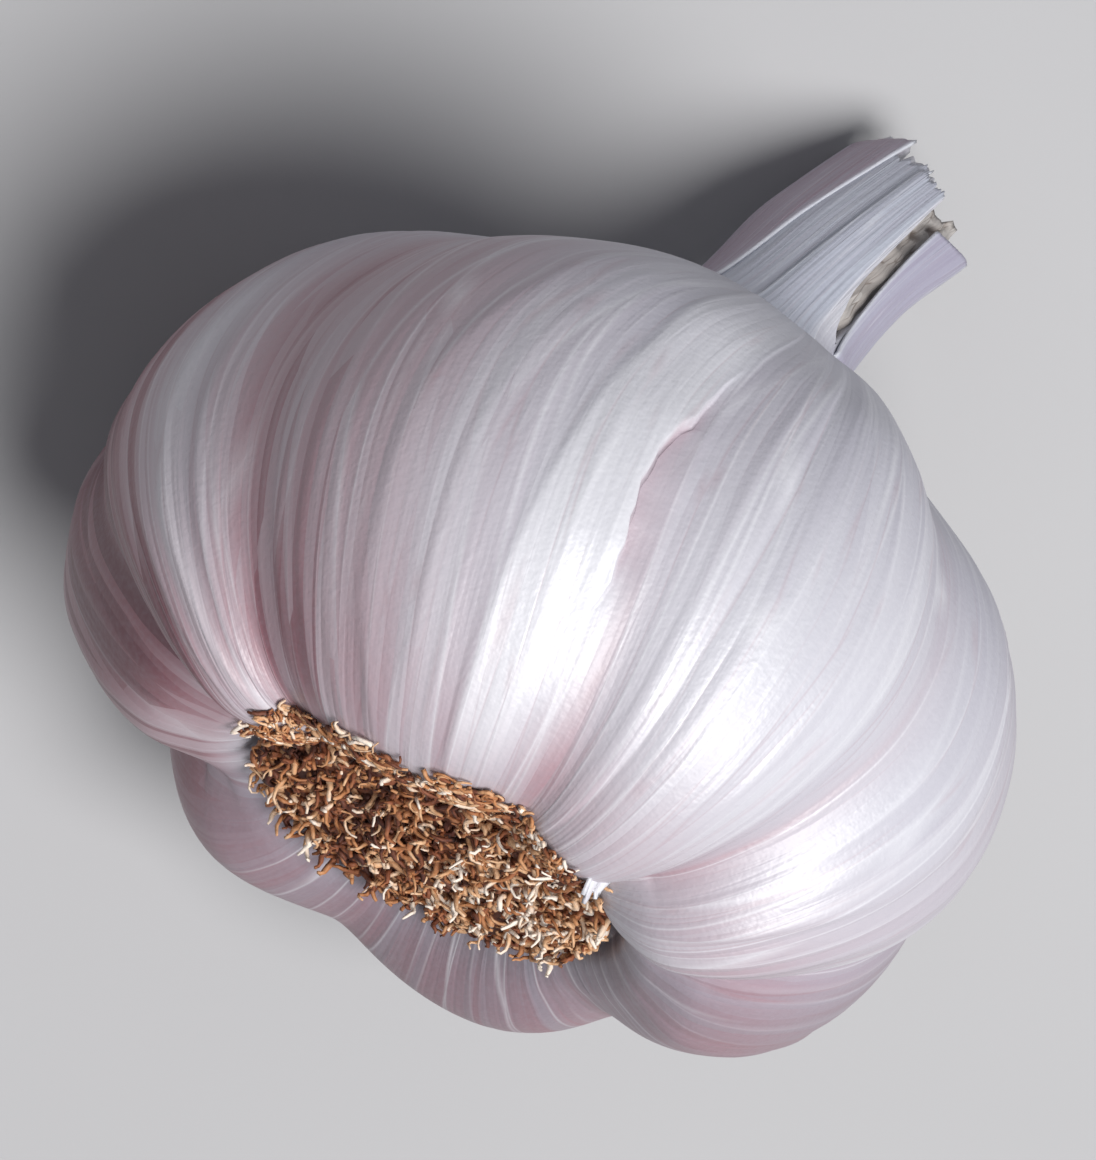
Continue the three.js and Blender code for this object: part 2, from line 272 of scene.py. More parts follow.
    def arch(self, s: np.ndarray) -> np.ndarray:
        """Returns the arch over a clove: 0 at its furrows and 1 in its middle."""

        def rise(x: np.ndarray | float) -> np.ndarray:
            """Height of the plain arch."""
            return np.sqrt(np.maximum(0.0, 1.0 - (self.arch_steepness * (1.0 - x)) ** 2))

        plain = 1.0 - np.abs(s)
        rounded = plain + self.furrow_softness * np.exp(-plain / self.furrow_softness)
        low = rise(self.furrow_softness)
        return (rise(rounded) - low) / (1.0 - low)

    def skin_height(self, clove: np.ndarray, s: np.ndarray, t: np.ndarray) -> np.ndarray:
        """Height of the smooth skin over the crest line.

        Args:
            clove: Number of the clove.
            s: Place across the clove from -1 to 1.
            t: Place along the crest line from 0 to 1.

        Returns:
            The height in millimetres, below 0 in the furrows.
        """
        depths = np.array([furrow.depths for furrow in self.furrows])
        left = -self.relief(depths[clove], t)
        right = -self.relief(depths[(clove + 1) % len(self.furrows)], t)
        valley = left + (right - left) * (0.5 + 0.5 * np.sin(math.pi / 2 * s))
        top = self.relief(np.array(self.reach)[clove], t)
        return valley + (top - valley) * self.arch(s)

    def place(self, angle: np.ndarray, distance: np.ndarray, height: np.ndarray) -> np.ndarray:
        """Returns points round the leaning middle line.

        Args:
            angle: Angle round the bulb in degrees.
            distance: Distance from the middle line.
            height: Height over the root plate's plane.

        Returns:
            The points, with x, y and z in the last axis.
        """
        share = np.maximum(0.0, (height - self.lean_start) / self.lean_height)
        x = distance * np.cos(np.radians(angle)) - self.lean_back * share**2.2
        y = distance * np.sin(np.radians(angle)) + self.lean_side * share**1.35
        return np.stack([x, y, height + 0.0 * x], axis=-1)


@dataclass(frozen=True)
class Bend:
    """How far the neck's sheath stands outwards round an angle, between two heights."""

    reach: float
    angle: float
    width: float
    start: float
    end: float


@dataclass
class NeckForm:
    """Shape of the dried neck: its torn edge, its wall and the bends of its sheath."""

    edge: tuple[tuple[float, float], ...] = (
        (-180.0, 57.6), (-140.0, 58.8), (-90.0, 61.0), (-60.0, 62.2), (-38.0, 61.6), (-32.0, 59.4),
        (-27.0, 60.4), (-12.0, 60.1), (4.0, 59.2), (20.0, 58.2), (25.0, 53.5), (29.0, 48.0),
        (36.0, 45.2), (47.0, 44.0), (50.0, 48.5), (53.0, 55.2), (79.0, 56.6), (100.0, 56.2),
        (125.0, 56.4), (180.0, 57.6),
    )
    wall: float = 0.6
    floor: float = 43.0
    bends: tuple[Bend, ...] = (Bend(1.25, -100.0, 62.0, 42.5, 53.0), Bend(0.8, 95.0, 45.0, 49.5, 58.0))

    def edge_height(self, angle: np.ndarray) -> np.ndarray:
        """Returns the height of the torn edge at an angle round the neck."""
        return np.interp(wrapped(angle), [p[0] for p in self.edge], [p[1] for p in self.edge])

    def bend(self, angle: np.ndarray, height: np.ndarray) -> np.ndarray:
        """Returns how far the sheath stands outwards at an angle and a height."""
        total = 0.0 * height
        for bend in self.bends:
            across = np.exp(-((wrapped(angle - bend.angle) / bend.width) ** 2))
            total = total + bend.reach * across * smooth(height, bend.start, bend.end)
        return total


class Maker:
    """Makes finished meshes and puts them where they ride."""

    def __init__(self, placement: Placement) -> None:
        """Keeps the placement that every piece is laid down with."""
        self.placement = placement

    def clear_selection(self) -> None:
        """Leaves edit mode and deselects everything."""
        if bpy.context.object and bpy.context.object.mode != "OBJECT":
            bpy.ops.object.mode_set(mode="OBJECT")
        bpy.ops.object.select_all(action="DESELECT")

    def sheet(self, name: str, points: np.ndarray, marks: dict[str, np.ndarray], weld: bool) -> bpy.types.Object:
        """Makes a mesh from a plane whose rows and columns are moved to given points.

        Args:
            name: Name of the new piece.
            points: Points of the upright bulb with the shape (rows, columns, 3).
            marks: Values for the finish, each with the shape (rows, columns) or (rows, columns, 3).
            weld: Whether points in one place, such as a seam or a pole, are joined.

        Returns:
            The new object, laid down at its place.
        """
        rows, columns = points.shape[:2]
        self.clear_selection()
        bpy.ops.mesh.primitive_grid_add(x_subdivisions=columns - 1, y_subdivisions=rows - 1, size=2.0)
        piece = bpy.context.object
        piece.name = name
        mesh = piece.data
        mesh.name = name
        flat = np.empty(len(mesh.vertices) * 3)
        mesh.vertices.foreach_get("co", flat)
        flat = flat.reshape(-1, 3)
        column = np.rint((flat[:, 0] + 1.0) / 2.0 * (columns - 1)).astype(int)
        row = np.rint((flat[:, 1] + 1.0) / 2.0 * (rows - 1)).astype(int)
        laid = self.placement.lay(points[row, column])
        mesh.vertices.foreach_set("co", laid.ravel())
        for mark, values in marks.items():
            kind = "FLOAT_VECTOR" if values.ndim == 3 else "FLOAT"
            slot = "vector" if values.ndim == 3 else "value"
            mesh.attributes.new(mark, kind, "POINT").data.foreach_set(slot, values[row, column].ravel())
        mesh.uv_layers.remove(mesh.uv_layers[0])
        if weld:
            bpy.ops.object.mode_set(mode="EDIT")
            bpy.ops.mesh.select_all(action="SELECT")
            bpy.ops.mesh.remove_doubles(threshold=WELD_DISTANCE)
            bpy.ops.object.mode_set(mode="OBJECT")
        mesh.update()
        bpy.ops.object.shade_smooth()
        return piece

    def thicken(self, piece: bpy.types.Object, thickness: float) -> None:
        """Gives a thin piece its wall, on its inner side.

        Args:
            piece: The piece, an open sheet.
            thickness: Wall in millimetres.
        """
        self.clear_selection()
        piece.select_set(True)
        bpy.context.view_layer.objects.active = piece
        wall = piece.modifiers.new("wall", "SOLIDIFY")
        wall.thickness = thickness * MM
        wall.offset = -1.0
        wall.use_even_offset = False
        bpy.ops.object.modifier_apply(modifier=wall.name)

    def press_flat(self, piece: bpy.types.Object) -> None:
        """Keeps every vertex of a finished piece on or over the floor."""
        mesh = piece.data
        flat = np.empty(len(mesh.vertices) * 3)
        mesh.vertices.foreach_get("co", flat)
        flat = flat.reshape(-1, 3)
        flat[:, 2] = np.maximum(flat[:, 2], 0.0)
        mesh.vertices.foreach_set("co", flat.ravel())
        mesh.update()

    def dress(self, piece: bpy.types.Object, material: bpy.types.Material, node: str) -> None:
        """Gives a piece its finish and ties it to the frame.

        Args:
            piece: The finished piece.
            material: Its material.
            node: The solid that the piece stands for, or an empty name.
        """
        piece.data.materials.clear()
        piece.data.materials.append(material)
        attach(piece, "root")
        if node:
            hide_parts(node)
        LOG.info("%s: %d faces", piece.name, len(piece.data.polygons))


class NodeTree:
    """Short ways to add and join shader nodes in one tree."""

    def __init__(self, tree: bpy.types.NodeTree) -> None:
        """Keeps the tree."""
        self.tree = tree

    def add(self, kind: str, inputs: dict | None = None, **settings: object) -> bpy.types.Node:
        """Adds a node.

        Args:
            kind: The node's type name.
            inputs: Values or sockets for its inputs, by name or number.
            settings: Properties of the node.

        Returns:
            The new node.
        """
        node = self.tree.nodes.new(kind)
        for name, value in settings.items():
            setattr(node, name, value)
        for name, value in (inputs or {}).items():
            socket = node.inputs[name]
            if isinstance(value, bpy.types.NodeSocket):
                self.tree.links.new(value, socket)
            else:
                socket.default_value = value
        return node

    def math(self, operation: str, first: object, second: object = 0.0) -> bpy.types.NodeSocket:
        """Returns the result of a Math node on two values or sockets."""
        return self.add("ShaderNodeMath", {0: first, 1: second}, operation=operation).outputs[0]

    def span(self, value: object, low: float, high: float, to: float = 1.0) -> bpy.types.NodeSocket:
        """Returns a value spread from low..high to 0..to, held inside those limits."""
        inputs = {"Value": value, "From Min": low, "From Max": high, "To Max": to}
        return self.add("ShaderNodeMapRange", inputs).outputs[0]

    def mix(self, share: object, first: object, second: object) -> bpy.types.NodeSocket:
        """Returns a mix of two colours."""
        node = self.add("ShaderNodeMix", data_type="RGBA")
        for index, value in ((0, share), (6, first), (7, second)):
            if isinstance(value, bpy.types.NodeSocket):
                self.tree.links.new(value, node.inputs[index])
            else:
                node.inputs[index].default_value = value
        return node.outputs[2]

    def mark(self, name: str, output: str = "Fac") -> bpy.types.NodeSocket:
        """Returns a value that the mesh carries."""
        return self.add("ShaderNodeAttribute", attribute_name=name).outputs[output]

    def noise(self, place: object, scale: float, detail: float = 2.0, rough: float = 0.5) -> bpy.types.NodeSocket:
        """Returns a noise value at a place."""
        inputs = {"Vector": place, "Scale": scale, "Detail": detail, "Roughness": rough}
        return self.add("ShaderNodeTexNoise", inputs).outputs[0]


def rgba(colour: tuple[float, float, float]) -> tuple[float, float, float, float]:
    """Returns a colour with full cover."""
    return (*colour, 1.0)


class PleatGroup:
    """Shared effect of the papery pieces: long narrow facets with crisp borders, in two sizes."""

    def __init__(self) -> None:
        """Builds the node group once."""
        group = bpy.data.node_groups.new("lengthwise_pleats", "ShaderNodeTree")
        group.interface.new_socket(name="Place", in_out="INPUT", socket_type="NodeSocketVector")
        group.interface.new_socket(name="Scale", in_out="INPUT", socket_type="NodeSocketFloat")
        for name in ("Tone", "Shade", "Ridge", "Line", "Fibre", "Height"):
            group.interface.new_socket(name=name, in_out="OUTPUT", socket_type="NodeSocketFloat")
        net = NodeTree(group)
        enter, leave = net.add("NodeGroupInput"), net.add("NodeGroupOutput")
        sized = {0: enter.outputs["Place"], "Scale": enter.outputs["Scale"]}
        place = net.add("ShaderNodeVectorMath", sized, operation="SCALE").outputs[0]
        broad, broad_edge = self.facets(net, place, 0.45)
        fine, fine_edge = self.facets(net, place, 1.05)
        fade = net.span(net.noise(place, 0.5, 0.0), 0.4, 0.62)
        ridge = net.math("MULTIPLY", net.math("SUBTRACT", 1.0, net.span(broad_edge, 0.0, 0.06)), fade)
        line = net.math("SUBTRACT", 1.0, net.span(fine_edge, 0.0, 0.09))
        chosen = net.span(net.noise(place, 0.9, 0.0), 0.5, 0.66)
        line = net.math("MULTIPLY", line, chosen)
        fibre = net.noise(place, 2.6, 1.0, 0.6)
        height = net.math("MULTIPLY", net.math("MINIMUM", broad_edge, 0.3), -0.13)
        height = net.math("ADD", height, net.math("MULTIPLY", net.math("MINIMUM", fine_edge, 0.25), 0.055))
        height = net.math("ADD", height, net.math("MULTIPLY", fibre, 0.02))
        results = {"Tone": broad, "Shade": fine, "Ridge": ridge, "Line": line, "Fibre": fibre, "Height": height}
        for name, socket in results.items():
            net.tree.links.new(socket, leave.inputs[name])
        self.group = group

    def facets(self, net: NodeTree, place: object, scale: float) -> tuple[object, object]:
        """Adds one size of facet.

        Args:
            net: The group's nodes.
            place: Where to read the facets.
            scale: Facets in each millimetre.

        Returns:
            A random value for each facet, and the distance to its border.
        """
        inputs = {"Vector": place, "Scale": scale}
        cells = net.add("ShaderNodeTexVoronoi", inputs)
        split = net.add("ShaderNodeSeparateColor", {0: cells.outputs["Color"]})
        edge = net.add("ShaderNodeTexVoronoi", inputs, feature="DISTANCE_TO_EDGE")
        return split.outputs[0], edge.outputs["Distance"]


@dataclass(frozen=True)
class SkinFinish:
    """Papery garlic skin: bluish ivory facets, pink-mauve streaks and a satin sheen, with painted shade and painted
    highlights read from the mesh.
    """

    name: str
    ivory: tuple[float, float, float] = (0.59, 0.595, 0.645)
    # Paler colour of the painted highlights on crests, ridges and the band; also the loose scale's own white.
    crest: tuple[float, float, float] = (0.74, 0.745, 0.785)
    lilac_and_shade: tuple[float, float, float] = (0.38, 0.38, 0.45)
    pink: tuple[float, float, float] = (0.35, 0.165, 0.195)
    # Deep pink of the left side, partly painted shade.
    maroon_and_shade: tuple[float, float, float] = (0.13, 0.045, 0.06)
    # Grey of the painted shade on the lower cloves.
    painted_shade_grey: tuple[float, float, float] = (0.17, 0.155, 0.18)
    roughness: float = 0.44

    def build(self, pleats: PleatGroup) -> bpy.types.Material:
        """Makes the material.

        Args:
            pleats: The shared effect of the papery pieces.

        Returns:
            The new material.
        """
        material = bpy.data.materials.new(self.name)
        material.use_nodes = True
        net = NodeTree(material.node_tree)
        shader = material.node_tree.nodes["Principled BSDF"]
        effect = net.add("ShaderNodeGroup", node_tree=pleats.group)
        net.tree.links.new(net.mark("streak", "Vector"), effect.inputs["Place"])
        effect.inputs["Scale"].default_value = 1.0
        out = effect.outputs
        pleat = net.mark("pleat")
        tone = net.math("ADD", net.math("MULTIPLY", out["Tone"], 0.24), net.math("MULTIPLY", out["Shade"], 0.14))
        # The lilac mark holds the skin's own lilac and painted shade.
        tone = net.math("ADD", net.math("MULTIPLY", tone, pleat), net.mark("lilac_and_shade"))
        colour = net.mix(net.span(tone, 0.0, 1.0), rgba(self.ivory), rgba(self.lilac_and_shade))
        # Painted shade: past 0.9 the tone darkens to grey, on the lower cloves.
        colour = net.mix(net.span(tone, 0.9, 2.0), colour, rgba(self.painted_shade_grey))
        streaks = net.math("ADD", net.math("MULTIPLY", out["Tone"], 0.4), net.math("MULTIPLY", out["Shade"], 0.4))
        blush = net.math("MULTIPLY", net.mark("pink"), net.math("ADD", streaks, 0.62))
        colour = net.mix(net.span(blush, 0.0, 1.0), colour, rgba(self.pink))
        # Past 0.7 the blush deepens to maroon: partly the skin's deeper pink, partly painted shade on the left side,
        # away from the lamp.
        colour = net.mix(net.span(blush, 0.7, 1.3, 0.9), colour, rgba(self.maroon_and_shade))
        # Painted shade: the furrow bottoms near the root plate, the line under the torn edge and the neck's hollow are
        # drawn darker, towards pink.
        colour = net.mix(net.span(net.mark("painted_depth_shade"), 0.0, 1.0, 0.6), colour, rgba(self.pink))
        # Painted highlights on crests and ridges are held back where the skin is pink, on the side away from the lamp.
        pale = net.math("SUBTRACT", 1.0, net.span(net.mark("pink"), 0.3, 1.0, 0.65))
        rib = net.math("MULTIPLY", net.span(net.mark("rib"), 0.05, 0.95, 0.6), pale)
        colour = net.mix(rib, colour, rgba(self.crest))
        # Painted highlight: pale lines along the facet ridges.
        ridge = net.math("MULTIPLY", net.math("MULTIPLY", out["Ridge"], pleat), pale)
        colour = net.mix(net.math("MULTIPLY", ridge, 0.42), colour, rgba(self.crest))
        line = net.math("MULTIPLY", out["Line"], pleat)
        colour = net.mix(net.math("MULTIPLY", line, 0.2), colour, rgba(self.pink))
        grain = net.noise(net.add("ShaderNodeTexCoord").outputs["Object"], 2400.0, 1.0, 0.6)
        colour = net.mix(net.span(grain, 0.35, 0.75, 0.1), colour, rgba(self.lilac_and_shade))
        net.tree.links.new(colour, shader.inputs["Base Color"])
        rough = net.math("ADD", net.math("MULTIPLY", out["Shade"], 0.08), self.roughness - 0.04)
        net.tree.links.new(rough, shader.inputs["Roughness"])
        crinkled = net.noise(net.add("ShaderNodeTexCoord").outputs["Object"], 330.0, 0.0)
        crinkle = net.math("MULTIPLY", net.mark("crinkle"), net.math("MULTIPLY", crinkled, 0.35))
        height = net.math("ADD", net.math("MULTIPLY", out["Height"], pleat), net.math("MULTIPLY", grain, 0.03))
        height = net.math("ADD", height, crinkle)
        bump = net.add("ShaderNodeBump", {"Height": height, "Distance": MM, "Strength": 1.0})
        net.tree.links.new(bump.outputs[0], shader.inputs["Normal"])
        shader.inputs["Specular IOR Level"].default_value = 0.8
        return material


@dataclass(frozen=True)
class RootFinish:
    """Dried roots from dark red-brown to cream, each root with its own tone."""

    name: str = "dried_roots"
    roughness: float = 0.72

    def build(self) -> bpy.types.Material:
        """Makes the material."""
        material = bpy.data.materials.new(self.name)
        material.use_nodes = True
        net = NodeTree(material.node_tree)
        shader = material.node_tree.nodes["Principled BSDF"]
        place = net.add("ShaderNodeTexCoord").outputs["Object"]
        spots = net.noise(place, 1500.0, 3.0, 0.6)
        tone = net.math("ADD", net.mark("tone"), net.math("MULTIPLY", net.math("SUBTRACT", spots, 0.5), 0.5))
        ramp = net.add("ShaderNodeValToRGB", {"Fac": tone})
        stops = (
            (0.0, (0.07, 0.016, 0.008)),
            (0.3, (0.25, 0.075, 0.028)),
            (0.55, (0.50, 0.22, 0.088)),
            (0.78, (0.72, 0.45, 0.26)),
            (1.0, (0.88, 0.78, 0.68)),
        )
        elements = ramp.color_ramp.elements
        while len(elements) < len(stops):
            elements.new(0.5)
        for element, (position, colour) in zip(elements, stops):
            element.position = position
            element.color = rgba(colour)
        net.tree.links.new(ramp.outputs[0], shader.inputs["Base Color"])
        net.tree.links.new(net.span(spots, 0.3, 0.7, 0.2), shader.inputs["Coat Weight"])
        fibres = net.noise(place, 5200.0, 2.0)
        bump = net.add("ShaderNodeBump", {"Height": fibres, "Distance": 0.00006, "Strength": 0.7})
        net.tree.links.new(bump.outputs[0], shader.inputs["Normal"])
        shader.inputs["Roughness"].default_value = self.roughness
        shader.inputs["Coat Roughness"].default_value = 0.5
        return material


@dataclass(frozen=True)
class StalkFinish:
    """Grey-tan dried stem with dark lengthwise lines, and painted shade in its cracks, its dents, its lower part and
    its broken top.
    """

    name: str = "dried_stalk"
    pale: tuple[float, float, float] = (0.50, 0.475, 0.455)
    # Dark of the stem's lines, also the colour of its painted shade.
    dark: tuple[float, float, float] = (0.13, 0.10, 0.085)

    def build(self, pleats: PleatGroup) -> bpy.types.Material:
        """Makes the material.

        Args:
            pleats: The shared effect of the papery pieces.

        Returns:
            The new material.
        """
        material = bpy.data.materials.new(self.name)
        material.use_nodes = True
        net = NodeTree(material.node_tree)
        shader = material.node_tree.nodes["Principled BSDF"]
        effect = net.add("ShaderNodeGroup", node_tree=pleats.group)
        net.tree.links.new(net.mark("streak", "Vector"), effect.inputs["Place"])
        effect.inputs["Scale"].default_value = 1.6
        tone = net.math("MULTIPLY", effect.outputs["Tone"], 0.45)
        colour = net.mix(tone, rgba(self.pale), rgba(self.dark))
        colour = net.mix(net.math("MULTIPLY", effect.outputs["Line"], 0.8), colour, rgba(self.dark))
        # Painted shade from the mesh darkens the stalk.
        colour = net.mix(net.span(net.mark("painted_depth_shade"), 0.0, 1.0, 0.8), colour, rgba(self.dark))
        net.tree.links.new(colour, shader.inputs["Base Color"])
        bump = net.add("ShaderNodeBump", {"Height": effect.outputs["Height"], "Distance": 0.0015, "Strength": 1.0})
        net.tree.links.new(bump.outputs[0], shader.inputs["Normal"])
        shader.inputs["Roughness"].default_value = 0.8
        return material


# Left edge of the broad band beside the tear, which is drawn whiter as painted highlight, and the fold left of
# it, as places along the crest line and across the clove
BAND_LEFT = ((0.1, 0.36), (0.17, 0.38), (0.25, 0.41), (0.35, 0.5), (0.45, 0.56), (0.64, 0.5))
BAND_FOLD = ((0.1, -0.1), (0.15, -0.17), (0.2, -0.24), (0.35, -0.17), (0.45, -0.04), (0.57, 0.05))


@dataclass
class WrappedBulb:
    """The cloves in their papery skin and the neck that the skin runs on as."""

    form: BulbForm
    neck: NeckForm
    clove_columns: tuple[int, ...] = (74, 92, 92, 70, 42, 34, 34, 46)
    body_rows: int = 136
    neck_rows: int = 36
    bore_rows: int = 8
    tear_clove: int = 1
    tear_line: tuple[tuple[float, float], ...] = (
        (0.0, 0.7), (0.17, 0.72), (0.21, 0.8), (0.25, 0.83), (0.28, 0.88), (0.3, 0.87),
        (0.325, 0.85), (0.355, 0.84), (0.385, 0.85), (0.4, 0.885), (0.41, 0.925), (0.45, 0.935),
        (0.48, 0.955), (0.53, 0.97), (1.0, 0.97),
    )
    tear_lift: float = 0.55
    tear_columns: tuple[float, ...] = (0.0, -0.008, 0.0, 0.003, 0.018)
    tear_heights: tuple[float, ...] = (0.0, 1.0, 0.9, -1.0, -1.15)
    under_depth: float = 1.1
    under_width: float = 0.16
    neck_ridge: float = 0.16
    creases: tuple[Crease, ...] = (
        Crease(1, BAND_LEFT, 0.2, 0.03, 0.4),
        Crease(1, BAND_FOLD, 0.22, 0.04, 0.26),
        Crease(1, ((0.14, 0.04), (0.3, 0.1), (0.45, 0.2), (0.55, 0.24)), 0.14, 0.03, 0.12),
        Crease(1, ((0.12, 0.2), (0.3, 0.26), (0.5, 0.36)), 0.1, 0.03, 0.1),
        Crease(1, ((0.1, -0.55), (0.21, -0.64), (0.345, -0.6), (0.48, -0.5)), 0.15, 0.04, 0.16),
        Crease(1, ((0.1, -0.36), (0.2, -0.46), (0.3, -0.45), (0.5, -0.34)), 0.11, 0.04, 0.12),
        Crease(1, ((0.08, -0.74), (0.21, -0.8), (0.345, -0.75), (0.48, -0.68)), 0.12, 0.05, 0.12),
        Crease(2, ((0.1, -0.75), (0.2, -0.72), (0.35, -0.68), (0.5, -0.62)), 0.14, 0.05, 0.16),
        Crease(2, ((0.1, -0.62), (0.17, -0.55), (0.29, -0.5), (0.4, -0.44), (0.57, -0.4)), -0.2, 0.02, 0.14),
        Crease(2, ((0.2, -0.3), (0.3, -0.28), (0.45, -0.26), (0.57, -0.24)), 0.12, 0.03, 0.1),
        Crease(2, ((0.24, 0.14), (0.33, 0.12), (0.45, 0.1), (0.52, 0.1)), -0.12, 0.02, 0.1),
        Crease(2, ((0.2, 0.32), (0.33, 0.28), (0.5, 0.26)), 0.1, 0.03, 0.1),
        Crease(2, ((0.2, 0.55), (0.29, 0.56), (0.48, 0.52)), 0.12, 0.04, 0.12),
        Crease(0, ((0.08, 0.62), (0.15, 0.44), (0.22, 0.32), (0.3, 0.34), (0.4, 0.48), (0.5, 0.55)), 0.36, 0.16, 0.1),
        Crease(0, ((0.08, 0.8), (0.15, 0.66), (0.25, 0.56), (0.4, 0.64), (0.55, 0.7)), 0.2, 0.05, 0.12),
        Crease(0, ((0.1, 0.25), (0.16, 0.12), (0.24, 0.04), (0.4, 0.14)), 0.26, 0.05, 0.16),
        Crease(0, ((0.1, -0.1), (0.2, -0.25), (0.43, -0.2)), 0.2, 0.06, 0.14),
        Crease(0, ((0.1, -0.45), (0.24, -0.55), (0.43, -0.6)), 0.2, 0.06, 0.14),
        Crease(3, ((0.08, -0.5), (0.16, -0.36), (0.25, -0.22), (0.4, -0.28), (0.5, -0.36)), 0.3, 0.3, 0.04),
        Crease(3, ((0.3, -0.7), (0.34, -0.78), (0.38, -0.88), (0.42, -0.92)), 0.16, 0.04, 0.1),
        Crease(3, ((0.1, 0.15), (0.29, 0.2), (0.53, 0.2)), 0.2, 0.14, 0.05),
        Crease(4, ((0.05, -0.1), (0.14, -0.02), (0.29, -0.1), (0.48, 0.0)), 0.3, 0.05, 0.18),
        Crease(7, ((0.08, 0.1), (0.2, 0.0), (0.4, 0.0)), 0.24, 0.1, 0.1),
        Crease(7, ((0.08, 0.55), (0.25, 0.5), (0.45, 0.45)), 0.22, 0.06, 0.16),
    )
    # Line of the ridge on the left clove that gets painted highlight.
    pale_ridge: tuple[tuple[float, float], ...] = ((0.08, 0.62), (0.15, 0.44), (0.22, 0.32), (0.3, 0.34), (0.4, 0.48))
    # Painted shade of each clove: the lower cloves are drawn greyer.
    painted_shade_by_clove: tuple[float, ...] = (0.0, 0.0, 0.0, 0.1, 1.3, 1.6, 1.4, 0.2)
    # Pink across each clove; the highest values, on the left cloves, also give painted shade through the maroon.
    blush_across: tuple[tuple[float, ...], ...] = (
        (1.2, 1.2, 1.1, 0.95, 0.72, 0.36, 0.2, 0.44, 0.76),
        (0.72, 0.6, 0.5, 0.42, 0.22, 0.12, 0.03, 0.0, 0.0),
        (0.06, 0.05, 0.02, 0.0, 0.0, 0.0, 0.0, 0.02, 0.06),
        (0.06, 0.0, 0.0, 0.05, 0.1, 0.1, 0.1, 0.12, 0.2),
        (0.24, 0.2, 0.2, 0.22, 0.26, 0.3, 0.34, 0.36, 0.36),
        (0.36, 0.34, 0.32, 0.32, 0.34, 0.36, 0.38, 0.4, 0.4),
        (0.4, 0.4, 0.4, 0.42, 0.44, 0.46, 0.5, 0.56, 0.6),
        (0.7, 0.9, 1.0, 1.1, 1.1, 1.1, 1.1, 1.15, 1.2),
    )

    def columns(self) -> tuple[np.ndarray, np.ndarray, np.ndarray]:
        """Lists the columns of the skin's mesh.

        Returns:
            The clove, the even place across it and the torn edge's mark of each column.
        """
        cloves, places, torn = [], [], []
        for clove, count in enumerate(self.clove_columns):
            even = 2.0 * np.arange(count) / count - 1.0
            spread = 0.65 * even + 0.35 * np.sin(math.pi / 2 * even)
            cloves += [clove] * count
            places += list(spread)
            torn += [0] * count
            if clove == self.tear_clove:
                cloves += [clove] * 4
                places += [0.9] * 4
                torn += [1, 2, 3, 4]
        return np.array(cloves), np.array(places), np.array(torn)

    def tear_share(self, t: np.ndarray) -> np.ndarray:
        """Returns how open the torn edge is along the clove."""
        return smooth(t, 0.255, 0.31) * (1.0 - smooth(t, 0.4, 0.48))

    def tear_place(self, t: np.ndarray) -> np.ndarray:
        """Returns the place across the clove of the torn edge, with its small jags."""
        line = np.interp(t, [p[0] for p in self.tear_line], [p[1] for p in self.tear_line])
        jag = 0.006 * np.sin(t * 230.0) + 0.005 * np.sin(t * 101.0 + 1.0)
        return line + jag * self.tear_share(t)

    def column_place(self, clove: np.ndarray, even: np.ndarray, torn: np.ndarray, t: np.ndarray) -> np.ndarray:
        """Moves the columns of the torn clove so that they follow its torn edge.

        Args:
            clove: Number of the clove.
            even: Even place across it.
            torn: Mark of the four columns at the torn edge.
            t: Place along the crest line.

        Returns:
            The place across the clove from -1 to 1.
        """
        tear = self.tear_place(t)
        share = np.clip((even + 1.0) / 2.0 * (1.0 + 1.0 / self.clove_columns[self.tear_clove]), 0.0, 1.0)
        squeezed = -1.0 + share * (tear - 0.02 + 1.0)
        at_tear = tear + np.array(self.tear_columns)[torn]
        moved = np.where(torn > 0, at_tear, squeezed)
        return np.where(clove == self.tear_clove, moved, even)

    def tear_rise(self, clove: np.ndarray, torn: np.ndarray, s: np.ndarray, t: np.ndarray) -> np.ndarray:
        """Returns the lift of the outer skin along its torn edge, over the skin under it."""
        tear = self.tear_place(t)
        outer = smooth(s, tear - 0.5, tear) ** 1.5
        under = -self.under_depth * np.exp(-np.maximum(s - tear, 0.0) / self.under_width)
        edge = np.array(self.tear_heights)[torn]
        lift = np.where(torn > 0, edge, np.where(s <= tear, outer, under))
        return np.where(clove == self.tear_clove, self.tear_lift * self.tear_share(t) * lift, 0.0)

    def ribs(self, clove: np.ndarray, s: np.ndarray, t: np.ndarray) -> tuple[np.ndarray, np.ndarray]:
        """Heights of the thin ribs of the skin.

        Args:
            clove: Number of the clove.
            s: Place across the clove.
            t: Place along the crest line.

        Returns:
            The added height in millimetres, and how much a point lies on the crest of a rib.
        """
        random = np.random.default_rng(7)
        height = np.zeros_like(s)
        crest = np.zeros_like(s)
        for number in range(len(self.form.furrows)):
            here = clove == number
            middle = -0.95
            while middle < 0.95:
                wander = 0.06 * random.standard_normal() * np.sin(3.0 * t + 6.0 * random.random())
                start, end = 0.04 + 0.14 * random.random(), 0.45 + 0.3 * random.random()
                width = 0.016 + 0.03 * random.random()
                tall = 0.02 + 0.07 * random.random() ** 2
                across = np.abs(s - middle - wander)
                ends = smooth(t, start, start + 0.1) * (1.0 - smooth(t, end - 0.2, end))
                height += tall * np.exp(-across / width) * ends * here
                crest += tall / 0.14 * np.exp(-across / (0.4 * width)) * ends * here
                middle += 0.09 + 0.17 * random.random()
        return height, np.clip(crest, 0.0, 1.0)

